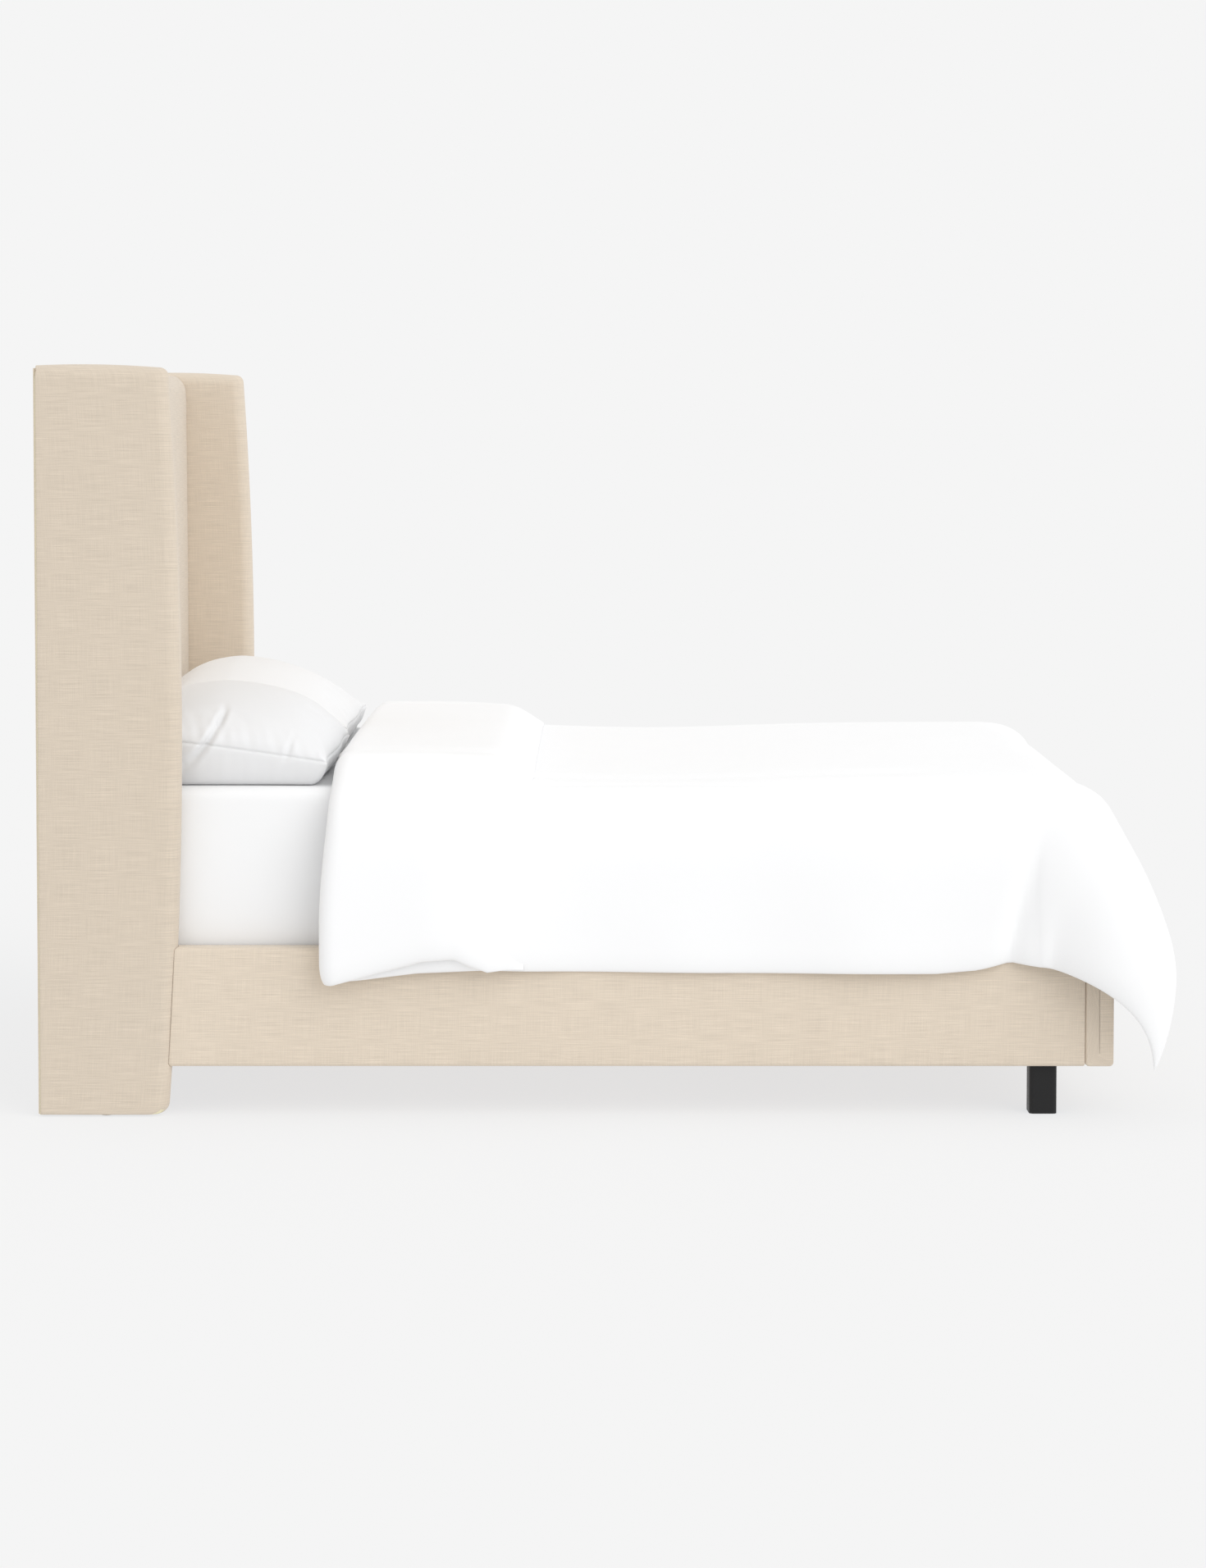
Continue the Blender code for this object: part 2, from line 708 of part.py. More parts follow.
def build_pillows(lift):
    """Two pillows side by side, each in a case that is open at its inner end."""
    base = world_place(lift)
    for side_name, side in SIDES:
        half_x, half_y, half_z = PILLOW_HALF
        centre = Vector((side * PILLOW_X, back(PILLOW_DEPTH), MATTRESS_TOP_Z + 2 * GAP + half_z))
        frame = add_frame(f"pillow_{side_name}_lift", centre - base, lift)
        case = add_object(
            f"pillowcase_{side_name}", pillow_mesh(PILLOW_HALF), "sheet", (0, 0, 0), frame
        )
        bm = bmesh.new()
        bm.from_mesh(case.data)
        ends = [f for f in bm.faces if f.calc_center_median().x * side < -0.90 * half_x]
        bmesh.ops.delete(bm, geom=ends, context="FACES")
        bm.to_mesh(case.data)
        bm.free()
        wall = case.modifiers.new("wall", "SOLIDIFY")
        wall.thickness = LINEN
        wall.offset = -1.0
        inner = tuple(size - 2.2 * LINEN for size in PILLOW_HALF)
        add_object(f"pillow_{side_name}", pillow_mesh(inner), "down", (0, 0, 0), frame)


def pillow_mesh(half):
    """A crowned cushion: a sphere squared off in plan, thinner towards its edges."""
    bm = bmesh.new()
    bmesh.ops.create_uvsphere(bm, u_segments=20, v_segments=16, radius=1.0)
    power = 2.0 / PILLOW_POWER
    for vertex in bm.verts:
        plan = [math.copysign(abs(c) ** power, c) for c in (vertex.co.z, vertex.co.x)]
        vertex.co = (plan[0] * half[0], plan[1] * half[1], vertex.co.y * half[2])
    return bm


def build_duvet(lift):
    """A lofty sheet draped over the mattress and down three sides, folded back at the head."""
    lying, hanging = 7, 7
    rows_lying = 22
    bm = bmesh.new()
    bmesh.ops.create_grid(
        bm, x_segments=2 * (lying + hanging), y_segments=rows_lying + hanging, size=0.5
    )
    lofts = []
    for vertex in bm.verts:
        column = abs(2 * vertex.co.x) * (lying + hanging)
        row = (0.5 - vertex.co.y) * (rows_lying + hanging)
        across = math.copysign(spaced(column, lying, MATTRESS_HALF, hanging), vertex.co.x)
        along = spaced(row, rows_lying, MATTRESS_FOOT - DUVET_HEAD, hanging)
        lofts.append(duvet_loft(across, along) / DUVET_FOLDED)
        vertex.co = drape(across, along)
    duvet = add_object("duvet", bm, "duvet", -world_place(lift), lift)
    group = duvet.vertex_groups.new(name="loft")
    for index, weight in enumerate(lofts):
        group.add([index], weight, "REPLACE")
    loft = duvet.modifiers.new("loft", "SOLIDIFY")
    loft.thickness = DUVET_FOLDED
    loft.offset = 1.0
    loft.vertex_group = "loft"
    return duvet


def spaced(step, lying, reach, hanging):
    """Grid steps spread evenly over the mattress, up to its edge, and evenly down the drop."""
    return reach * min(step / lying, 1.0) + DUVET_DROP * max(step - lying, 0.0) / hanging


def past_edges(across, along):
    """How far a point of the flat sheet lies past the mattress's side and past its foot."""
    over_x = max(abs(across) - MATTRESS_HALF, 0.0)
    over_y = max(DUVET_HEAD + along - MATTRESS_FOOT, 0.0)
    return over_x, over_y


def duvet_loft(across, along):
    """The duvet's thickness: less where it hangs, and two layers where it is folded back."""
    hanging = min(math.hypot(*past_edges(across, along)) / DUVET_SHOULDER, 1.0)
    if DUVET_HEAD + along < DUVET_FOLD:
        return DUVET_FOLDED + hanging * (2 * DUVET_SIDE - DUVET_FOLDED)
    return DUVET_TOP + hanging * (DUVET_SIDE - DUVET_TOP)


def drape(across, along):
    """Where a point of the flat duvet's underside lies.

    On the mattress it is flat. Past an edge it falls: first out over the rail, then straight
    down. Past both edges it fans out round the corner, widest at the belly, and its tip falls
    the lowest.
    """
    over_x, over_y = past_edges(across, along)
    x = min(abs(across), MATTRESS_HALF)
    depth = min(DUVET_HEAD + along, MATTRESS_FOOT)
    top = MATTRESS_TOP_Z + 2 * GAP
    fall = math.hypot(over_x, over_y)
    if fall > 0.0:
        out_x, out_y = over_x / fall, over_y / fall
        shoulder = min(fall / DUVET_SHOULDER, 1.0)
        stand = shoulder ** 0.6
        flare = 2 * out_x * out_y * (1.0 - (1.0 - fall / DUVET_BELLY) ** 2)
        x += (DUVET_HALF_OUT - MATTRESS_HALF) * stand * out_x + DUVET_FLARE_X * flare
        depth += (DUVET_FOOT_OUT - MATTRESS_FOOT) * stand * out_y + DUVET_FLARE_Y * flare
        top -= fall - DUVET_SHOULDER_SAVED * shoulder
    return Vector((math.copysign(x, across), back(depth), top))


def main():
    clear_scene()
    new_collection(BED)
    new_collection("cutters")
    wings = build_wings()
    build_headboard()
    rails = build_rails(wings)
    build_base()
    build_feet()
    build_fittings(wings, rails)
    lift = build_mattress()
    build_pillows(lift)
    build_duvet(lift)


main()
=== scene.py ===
"""Looks of an upholstered wingback bed: its linen, bedding, timber and fittings round the frame."""

import math

import bmesh
import bpy
import numpy as np
from bpy.props import FloatProperty, FloatVectorProperty, PointerProperty
from mathutils import Matrix, Vector


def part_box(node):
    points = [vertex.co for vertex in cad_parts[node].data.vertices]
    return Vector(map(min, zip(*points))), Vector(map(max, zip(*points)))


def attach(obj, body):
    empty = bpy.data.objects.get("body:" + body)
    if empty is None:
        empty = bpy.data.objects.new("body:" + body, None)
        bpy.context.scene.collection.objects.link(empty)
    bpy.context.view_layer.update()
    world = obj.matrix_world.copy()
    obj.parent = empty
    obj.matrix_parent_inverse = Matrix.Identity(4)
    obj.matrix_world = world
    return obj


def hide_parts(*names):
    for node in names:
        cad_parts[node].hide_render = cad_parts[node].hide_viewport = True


bl_info = {
    "name": "Upholstered bed",
    "version": (1, 0, 0),
    "blender": (4, 5, 0),
    "location": "3D View > Sidebar > Bed",
    "description": "Makes the linen, the bedding and the stage round the frame of a bed",
    "category": "Object",
}

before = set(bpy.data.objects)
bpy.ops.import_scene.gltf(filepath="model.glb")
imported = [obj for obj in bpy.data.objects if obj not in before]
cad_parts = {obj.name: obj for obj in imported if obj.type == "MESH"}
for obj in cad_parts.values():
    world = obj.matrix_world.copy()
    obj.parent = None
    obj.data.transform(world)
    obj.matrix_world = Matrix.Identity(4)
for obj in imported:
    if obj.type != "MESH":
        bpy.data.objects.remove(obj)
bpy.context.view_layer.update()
SIDES = (("left", -1), ("right", 1))
QUARTER = math.pi / 2
# Points closer than this are one point.
WELD = 2e-5
# Colour of the mattress's and the box spring's ticking.
TICKING = (0.80, 0.80, 0.77)
# Tones of the cloths against their colour, which are painted light: the right wing, the rails and the
# duvet are made lighter so that they read as more brightly lit.
WING_PAINTED_LIGHT = {"left": 1.0, "right": 1.035}
RAIL_PAINTED_LIGHT = 1.085
DUVET_PAINTED_LIGHT = 1.015
# How far the mattress's ticking lies under the sheet.
TICKING_INSET = 0.0022
# How deep the fine creases in the fitted sheet and the duvet are.
SHEET_CREASE = 0.0016

# Where the frame's pieces are. Depth is measured from the headboard's back, towards the foot.
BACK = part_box("headboard_back_cover")[1].y
WING_LOW, WING_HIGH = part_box("wing_right_cover")
HEAD_LOW, HEAD_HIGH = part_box("headboard_cover")
RAIL_LOW, RAIL_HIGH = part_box("side_rail_right_cover")
FOOT_LOW, FOOT_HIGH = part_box("foot_rail_cover")
SHEET_LOW, SHEET_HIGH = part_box("fitted_sheet")

# The stage: a pale backdrop and floor, one soft light, and the camera at the bed's side.
PALE = 0.9131
FLOOR_REACH = 400.0
FLOOR_SHADE = (0.222, 0.205, 0.185)
# Light that the floor gives back at each unit of its shade. The floor also glows with painted light,
# which makes it up to PALE and lightens the shadows under the bed.
FLOOR_LIGHT = 1.09
KEY_ENERGY = 0.95
KEY_SPREAD = 50.0
KEY_FROM = (-0.56, -0.60, 0.58)
CAMERA_PLACE = (-7.636, 0.0066, 1.3726)
CAMERA_PITCH = 2.8114
CAMERA_LENS = 81.67
SENSOR_WIDTH = 36.0
CAMERA_SHIFT = -0.125
CLIP_END = 2000.0


# Sizes and colours a user may change -----------------------------------------------------------


def metres(name, description, default, low=0.0, high=3.0):
    return FloatProperty(
        name=name, description=description, default=default, min=low, max=high,
        unit="LENGTH", subtype="DISTANCE", precision=4,
    )


def colour(name, description, default):
    return FloatVectorProperty(
        name=name, description=description, default=default, min=0.0, max=1.0,
        size=3, subtype="COLOR",
    )


class BedSizes(bpy.types.PropertyGroup):
    """Sizes of the upholstery and the bedding."""

    wing_round: metres("Wing edge", "Radius of the padded front and top of a wing", 0.0272)
    wing_crown: metres("Wing crown", "Rise of a wing's top over its corners", 0.006)
    wing_curve: FloatProperty(
        name="Wing curve", description="How fast a wing's front draws back, per metre", default=0.0495
    )
    wing_belly: metres("Wing belly", "Height at which a wing is deepest", 0.78)
    head_roll: metres("Headboard roll", "Depth of the roll at the headboard's top", 0.036)
    rail_round: metres("Rail edge", "Radius of a rail's long edges", 0.008)
    linen: metres("Linen", "Thickness of the upholstery linen with its backing", 0.0012)
    sheet_wall: metres("Sheet", "Thickness of the fitted sheet", 0.0012)
    pillow_swell: metres("Pillow swell", "Furthest that a point of a pillow is blown out", 0.006)
    duvet_loft: metres("Duvet loft", "Thickness of one layer of the duvet", 0.025)
    duvet_step: metres("Duvet step", "Height from one layer to the one folded over it", 0.037)


class BedColours(bpy.types.PropertyGroup):
    """Colours of the cloths, timbers and fittings."""

    linen: colour("Linen", "Colour of the upholstery linen", (0.655, 0.567, 0.462))
    cotton: colour("Cotton", "Colour of the bed linen", (0.895, 0.898, 0.903))
    pillow: colour("Pillow", "Colour of the pillowcases", (0.788, 0.791, 0.798))
    leg: colour("Leg", "Colour of the painted legs", (0.010, 0.010, 0.0104))


# Shared shapes ---------------------------------------------------------------------------------


def smooth(value):
    """0 below 0, 1 above 1, and the cubic 3t^2 - 2t^3 between."""
    share = np.clip(value, 0.0, 1.0)
    return share * share * (3.0 - 2.0 * share)


def hump(value, centre, width):
    """The bell curve exp(-((value - centre) / width)^2)."""
    return np.exp(-(((value - centre) / width) ** 2))


def rise(distance, radius, power=2.0):
    """How much of the full height is reached at a distance from an edge: a superellipse's quarter."""
    short = 1.0 - np.clip(distance / radius, 0.0, 1.0)
    return (1.0 - short**power) ** (1.0 / power)


def rise_steps(radius, power, count, start=0.0):
    """Distances from an edge at which that quarter turns by equal angles."""
    angles = np.linspace(start, QUARTER, count)
    return radius * (1.0 - np.maximum(np.cos(angles), 0.0) ** (2.0 / power))


def end_steps(radius, count):
    """Rows (advance, inset) of a quarter round that closes the end of a bar."""
    angles = np.linspace(0.0, QUARTER, count)
    return np.stack([radius * (1.0 - np.cos(angles)), radius * (1.0 - np.sin(angles))], axis=1)


def turning(table, count=800, soften=41):
    """A curve from how its slope turns: out is the running sum of cos, and drop that of sin.

    The table holds (length along, slope in degrees). The result is (along, out, drop).
    """
    marks, slopes = np.array(table, float).T
    along = np.linspace(0.0, marks[-1], count)
    slope = np.radians(np.interp(along, marks, slopes))
    kernel = np.hanning(soften + 2)[1:-1]
    half = soften // 2
    held = np.concatenate([np.full(half, slope[0]), slope, np.full(half, slope[-1])])
    slope = np.convolve(held, kernel / kernel.sum(), mode="valid")
    step = along[1] - along[0]
    out = np.concatenate([[0.0], np.cumsum(np.cos(slope[:-1])) * step])
    drop = np.concatenate([[0.0], np.cumsum(np.sin(slope[:-1])) * step])
    return along, out, drop


def section(width, height, radius, arc=5, side=8):
    """A rounded rectangle as (across, up), from the middle of its left side round by its base."""
    half_w = max(width / 2, 1e-5)
    half_h = max(height / 2, 1e-5)
    radius = min(max(radius, 1e-5), half_w * 0.999, half_h * 0.999)
    turn = np.linspace(0.0, QUARTER, arc + 1)
    corners = (
        (-half_w + radius, -half_h + radius, 2 * QUARTER),
        (half_w - radius, -half_h + radius, 3 * QUARTER),
        (half_w - radius, half_h - radius, 0.0),
        (-half_w + radius, half_h - radius, QUARTER),
    )
    arcs = [
        np.stack([x + radius * np.cos(start + turn), y + radius * np.sin(start + turn)], axis=1)
        for x, y, start in corners
    ]
    middle = np.array([[-half_w, 0.0]])
    between = np.linspace(0.0, 1.0, side + 1)[1:-1, None]
    half_side = np.linspace(0.0, 1.0, side // 2 + 1)
    parts = [middle + (arcs[0][:1] - middle) * half_side[:-1, None]]
    for this, following in zip(arcs, arcs[1:]):
        parts += [this, this[-1:] + (following[:1] - this[-1:]) * between]
    parts += [arcs[3], arcs[3][-1:] + (middle - arcs[3][-1:]) * half_side[1:, None]]
    return np.concatenate(parts)


def lengths(points, axis):
    """Distance run along one axis of a grid of points, counted from its middle line."""
    steps = np.linalg.norm(np.diff(points, axis=axis), axis=-1)
    start = np.zeros_like(np.take(steps, [0], axis=axis))
    run = np.concatenate([start, np.cumsum(steps, axis=axis)], axis=axis)
    return run - np.take(run, [run.shape[axis] // 2], axis=axis)


def cloth_coordinates(points):
    """Cloth coordinates in metres: across along the rows and up along the columns."""
    return np.stack([lengths(points, 1), lengths(points, 0)], axis=-1)


def grid_normals(points):
    """Unit normals of a grid of points: the cross product of its two directions."""
    normal = np.cross(np.gradient(points, axis=1), np.gradient(points, axis=0))
    return normal / np.maximum(np.linalg.norm(normal, axis=-1, keepdims=True), 1e-12)


def grid_quads(rows, columns, first=0):
    """The four corners of each cell of a grid of points, row by row."""
    index = first + np.arange(rows * columns).reshape(rows, columns)
    cells = [index[:-1, :-1], index[:-1, 1:], index[1:, 1:], index[1:, :-1]]
    return np.stack(cells, axis=-1).reshape(-1, 4)


def sewn_quads(rows, columns):
    """The cells of two grids of points with the same rim, the second one looking the other way."""
    under = grid_quads(rows, columns, first=rows * columns)
    return np.concatenate([grid_quads(rows, columns), under[:, ::-1]])


def mesh_of(name, points, faces, uvs=None):
    """A smooth welded mesh that looks outwards, with its cloth coordinates."""
    points = np.asarray(points, float).reshape(-1, 3)
    middle = points.mean(axis=0)
    mesh = bpy.data.meshes.new(name)
    mesh.from_pydata((points - middle).tolist(), [], np.asarray(faces).tolist())
    if uvs is not None:
        corner = np.empty(len(mesh.loops), np.int32)
        mesh.loops.foreach_get("vertex_index", corner)
        layer = mesh.uv_layers.new(name="cloth")
        layer.data.foreach_set("uv", uvs.reshape(-1, 2)[corner].astype(np.float32).ravel())
    bm = bmesh.new()
    bm.from_mesh(mesh)
    bmesh.ops.remove_doubles(bm, verts=bm.verts, dist=WELD)
    if bm.calc_volume(signed=True) < 0.0:
        bmesh.ops.reverse_faces(bm, faces=bm.faces)
    bm.to_mesh(mesh)
    bm.free()
    mesh.transform(Matrix.Translation(Vector(middle)))
    mesh.polygons.foreach_set("use_smooth", np.ones(len(mesh.polygons), bool))
    mesh.update()
    return mesh


def place_piece(name, mesh, finish, body, stands_for=(), slot=None, wall=0.0):
    """Puts a mesh in the scene with its material, its wall, its body and the nodes it stands for."""
    obj = bpy.data.objects.new(name, mesh)
    bpy.context.scene.collection.objects.link(obj)
    obj.data.materials.append(finish)
    if wall:
        skin = obj.modifiers.new("wall", "SOLIDIFY")
        skin.thickness = wall
        skin.offset = -1.0
        skin.use_rim = True
    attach(obj, body)
    if stands_for:
        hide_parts(*stands_for)
    return obj


def grid_piece(name, points, finish, **place):
    """A piece from one grid of points."""
    faces = grid_quads(*points.shape[:2])
    mesh = mesh_of(name, points, faces, cloth_coordinates(points))
    return place_piece(name, mesh, finish, **place)


def linen_piece(name, points, finish, cover):
    """A linen cover, shown in place of the frame's plain one."""
    wall = bpy.context.scene.bed_sizes.linen
    place = {"body": "frame", "wall": wall, "stands_for": [cover], "slot": "linen"}
    return grid_piece(name, points, finish, **place)


# Materials -------------------------------------------------------------------------------------


class Wire:
    """An output of a material's node, on which arithmetic adds Math nodes."""

    def __init__(self, recipe, socket):
        self.recipe = recipe
        self.socket = socket

    def math(self, operation, *values):
        sockets = dict(enumerate(values))
        return self.recipe.node("ShaderNodeMath", {"operation": operation}, sockets)

    def __add__(self, other):
        return self.math("ADD", self, other)

    __radd__ = __add__

    def __sub__(self, other):
        return self.math("SUBTRACT", self, other)

    def __mul__(self, other):
        return self.math("MULTIPLY", self, other)

    def sine(self):
        return self.math("SINE", self)

    def between(self, low, high):
        """0 below low, 1 above high, smooth between."""
        settings = {"interpolation_type": "SMOOTHSTEP"}
        sockets = {"Value": self, "From Min": low, "From Max": high}
        return self.recipe.node("ShaderNodeMapRange", settings, sockets)


class Recipe:
    """One material: its node tree, and short ways to add to it."""

    def __init__(self, name, **surface):
        self.material = bpy.data.materials.new(name)
        self.material.use_nodes = True
        self.tree = self.material.node_tree
        self.shader = self.tree.nodes["Principled BSDF"]
        for socket, value in surface.items():
            self.shader.inputs[socket.replace("_", " ")].default_value = value

    def node(self, kind, settings=None, sockets=None, output=0):
        """Adds a node: first its settings, then the values or wires of its sockets."""
        made = self.tree.nodes.new(kind)
        for key, value in (settings or {}).items():
            setattr(made, key, value)
        for key, value in (sockets or {}).items():
            if isinstance(value, Wire):
                self.tree.links.new(value.socket, made.inputs[key])
            else:
                made.inputs[key].default_value = value
        return Wire(self, made.outputs[output])

    def feed(self, socket, wire):
        self.tree.links.new(wire.socket, self.shader.inputs[socket])

    def cloth(self):
        """The piece's own cloth coordinates, in metres, as (across, up)."""
        uv = self.node("ShaderNodeUVMap", {"uv_map": "cloth"})
        return self.split(uv)[:2]

    def place(self):
        """Where a point is on the object, in metres, as (x, y, z)."""
        return self.split(self.node("ShaderNodeTexCoord", output="Object"))

    def split(self, vector):
        node = self.tree.nodes.new("ShaderNodeSeparateXYZ")
        self.tree.links.new(vector.socket, node.inputs[0])
        return [Wire(self, output) for output in node.outputs]

    def noise(self, x, y, z=0.0, detail=2.0, roughness=0.5, distortion=0.0):
        """Cloudy noise at a place, about 0.5 on the whole."""
        vector = self.node("ShaderNodeCombineXYZ", None, {"X": x, "Y": y, "Z": z})
        sockets = {
            "Vector": vector, "Scale": 1.0, "Detail": detail, "Roughness": roughness,
            "Distortion": distortion,
        }
        return self.node("ShaderNodeTexNoise", None, sockets)

    def mix(self, factor, first, second):
        """A colour between two colours."""
        sockets = {"Factor": factor, 6: (*first, 1.0), 7: (*second, 1.0)}
        settings = {"data_type": "RGBA"}
        return self.node("ShaderNodeMix", settings, sockets, output=2)

    def bump(self, height, distance, strength=1.0):
        sockets = {"Height": height, "Distance": distance, "Strength": strength}
        self.feed("Normal", self.node("ShaderNodeBump", None, sockets))


def shaded(base, factor):
    return tuple(min(channel * factor, 1.0) for channel in base)


def linen_finish(name, base, own_coordinates=True):
    """Slubby linen: crossing threads, long light slubs along the weft, and a slow change of tone."""
    recipe = Recipe(name, Roughness=0.93, Sheen_Weight=0.25, Sheen_Roughness=0.5)
    if own_coordinates:
        across, up = recipe.cloth()
    else:
        across, _, up = recipe.place()
    weft = recipe.noise(across * 15.0, up * 760.0, 3.0)
    warp = recipe.noise(across * 760.0, up * 15.0, 7.0)
    cloudy = recipe.noise(across * 2.0, up * 2.0, 1.0)
    slub = recipe.noise(across * 13.0, up * 480.0, 11.0, detail=1.0).between(0.64, 0.74)
    rib = recipe.noise(across * 300.0, up * 8.0, 17.0, detail=1.0).between(0.68, 0.82)
    weave = (across * 5200.0).sine() * (up * 5200.0).sine()
    tone = weft * 1.45 + warp * 0.65 + cloudy * 0.12 + slub * 0.34 + rib * 0.08 - 0.66
    recipe.feed("Base Color", recipe.mix(tone, shaded(base, 0.86), shaded(base, 1.16)))
    height = weft * 1.2 + warp * 0.7 + slub * 0.6 + weave * 0.12
    recipe.bump(height, 0.0005, 0.6)
    recipe.feed("Roughness", 0.86 + weft * 0.14)
    return recipe.material


def cotton_finish(name, base, crease=0.0012):
    """Washed cotton: a fine even weave, faint creases and a soft sheen."""
    recipe = Recipe(name, Roughness=0.9, Sheen_Weight=0.3, Sheen_Roughness=0.4)
    x, y, z = recipe.place()
    soft = recipe.noise(x * 9.0, y * 9.0, z * 9.0, detail=3.0, roughness=0.45)
    fine = recipe.noise(x * 900.0, y * 900.0, z * 900.0, detail=1.0)
    tone = soft * 0.5 + fine * 0.5
    recipe.feed("Base Color", recipe.mix(tone, shaded(base, 0.985), shaded(base, 1.012)))
    recipe.bump(soft + fine * 0.03, crease, 0.6)
    recipe.feed("Roughness", 0.84 + fine * 0.1)
    return recipe.material


def wood_finish(name, dark, light, along="Y", rings=70.0, gloss=0.6):
    """Sawn timber: long streaks of grain with fine pores, along one axis."""
    recipe = Recipe(name, Roughness=gloss)
    x, y, z = recipe.place()
    scale = {axis: (2.5 if axis == along else rings) for axis in "XYZ"}
    streak = recipe.noise(x * scale["X"], y * scale["Y"], z * scale["Z"], detail=4.0, distortion=0.6)
    scale = {axis: (22.0 if axis == along else 900.0) for axis in "XYZ"}
    pore = recipe.noise(x * scale["X"], y * scale["Y"], z * scale["Z"], detail=1.0)
    tone = (streak - 0.5) * 2.2 + (pore - 0.5) * 0.8 + 0.5
    recipe.feed("Base Color", recipe.mix(tone, dark, light))
    recipe.bump(streak * 0.5 + pore * 0.5, 0.0005, 0.6)
    recipe.feed("Roughness", gloss + (pore - 0.5) * 0.3)
    return recipe.material


def foam_finish(name, base):
    """Open-cell foam: fine pits and a slow yellowing."""
    recipe = Recipe(name, Roughness=0.97)
    x, y, z = recipe.place()
    cells = recipe.noise(x * 600.0, y * 600.0, z * 600.0, detail=2.0)
    cloudy = recipe.noise(x * 5.0, y * 5.0, z * 5.0)
    tone = cells * 0.9 + cloudy * 0.6 - 0.25
    recipe.feed("Base Color", recipe.mix(tone, shaded(base, 0.82), shaded(base, 1.1)))
    recipe.bump(cells, 0.0010, 0.8)
    return recipe.material


def metal_finish(name, base, roughness, brushed=0.2, metallic=1.0, gloss=0.5):
    """Metal or moulded plastic: a fine grain in its gloss, and light wear in its colour."""
    recipe = Recipe(name, Metallic=metallic, Roughness=roughness, Specular_IOR_Level=gloss)
    x, y, z = recipe.place()
    grain = recipe.noise(x * 300.0, y * 60.0, z * 300.0, detail=3.0)
    worn = recipe.noise(x * 35.0, y * 35.0, z * 35.0, detail=3.0)
    tone = grain * 0.6 + worn * 0.4
    recipe.feed("Base Color", recipe.mix(tone, shaded(base, 0.8), shaded(base, 1.2)))
    recipe.feed("Roughness", roughness + (grain - 0.5) * brushed + (worn - 0.5) * 0.2)
    recipe.bump(grain, 0.0002, 0.4)
    return recipe.material


def ticking_finish(name, base):
    """Woven ticking: a close herringbone over a plain pale ground."""
    recipe = Recipe(name, Roughness=0.9, Sheen_Weight=0.2)
    x, y, z = recipe.place()
    stripe = ((x + z) * 900.0).sine() * 0.5 + ((y - z) * 900.0).sine() * 0.5
    cloudy = recipe.noise(x * 6.0, y * 6.0, z * 6.0)
    tone = 0.5 + stripe * 0.25 + (cloudy - 0.5) * 0.8
    recipe.feed("Base Color", recipe.mix(tone, shaded(base, 0.9), shaded(base, 1.05)))
    recipe.bump(stripe, 0.0003, 0.5)
    return recipe.material


# Upholstery ------------------------------------------------------------------------------------


def wing_front(sizes, z):
    """Depth of a wing's front edge at a height: a parabola, deepest at the belly."""
    deepest = BACK - WING_LOW.y
    return deepest - sizes.wing_curve * (z - sizes.wing_belly) ** 2


def round_corner(distance, radius):
    """How far an outline is drawn in at a distance from the end of a round corner."""
    short = np.clip(radius - distance, 0.0, radius)
    return radius - np.sqrt(radius**2 - short**2)


def wing_points(sizes, side):
    """One cloth round a wing, from its back edge over both faces to its back edge.

    A point's half thickness is T/2 times a quarter round of its distance from each edge. The
    front and the top are full rounds, and the back and the base are tight ones.
    """
    half = (WING_HIGH.x - WING_LOW.x) / 2
    middle = side * (WING_HIGH.x + WING_LOW.x) / 2
    tight, power = 0.004, 4.0
    low, high = WING_LOW.z, WING_HIGH.z - sizes.wing_crown
    corner_low, corner_high = 0.021, 0.016
    band = sizes.wing_round * 1.02
    padding, padded_at, crown_from = 0.0012, 0.12, 0.09
    z = np.concatenate([
        low + rise_steps(tight, power, 7)[:-1],
        low + np.linspace(tight, corner_low + 0.004, 8)[:-1],
        np.linspace(low + corner_low + 0.004, high - sizes.wing_round, 90)[:-1],
        (high - rise_steps(sizes.wing_round, 2.0, 14))[::-1],
    ])[:, None]
    rear = BACK - WING_HIGH.y
    front = wing_front(sizes, z)
    front = front - round_corner(z - low, corner_low) - round_corner(high - z, corner_high)
    near_back = rise_steps(tight, power, 6, start=0.3)[None]
    near_front = (band - rise_steps(sizes.wing_round, 2.0, 15)[::-1])[None]
    share = np.linspace(0.0, 1.0, 26)[1:-1][None]
    span = front - rear
    flat = rear + tight + (span - tight - band) * share
    ahead = front - band + near_front
    ahead[:, -1] = front[:, 0]
    depth = np.concatenate([rear + near_back + 0.0 * z, flat, ahead], axis=1)
    swell = rise(front - depth, sizes.wing_round) * rise(depth - rear, tight, power)
    swell = swell * rise(high - z, sizes.wing_round) * rise(z - low, tight, power)
    puff = padding * smooth((depth - rear) / padded_at) * smooth((front - depth) / padded_at)
    across = (half + puff) * swell
    crown = sizes.wing_crown * (1.0 - ((depth - crown_from) / (span - crown_from)) ** 2)
    up = z + crown * ((z - low) / (high - low)) ** 3
    faces = []
    for turn, order in ((-1.0, slice(None)), (1.0, slice(None, None, -1))):
        sheet = np.stack([middle + turn * across, BACK - depth, up], axis=-1)
        faces.append(sheet[:, order])
    return np.concatenate([faces[0], faces[1][:, 1:]], axis=1)


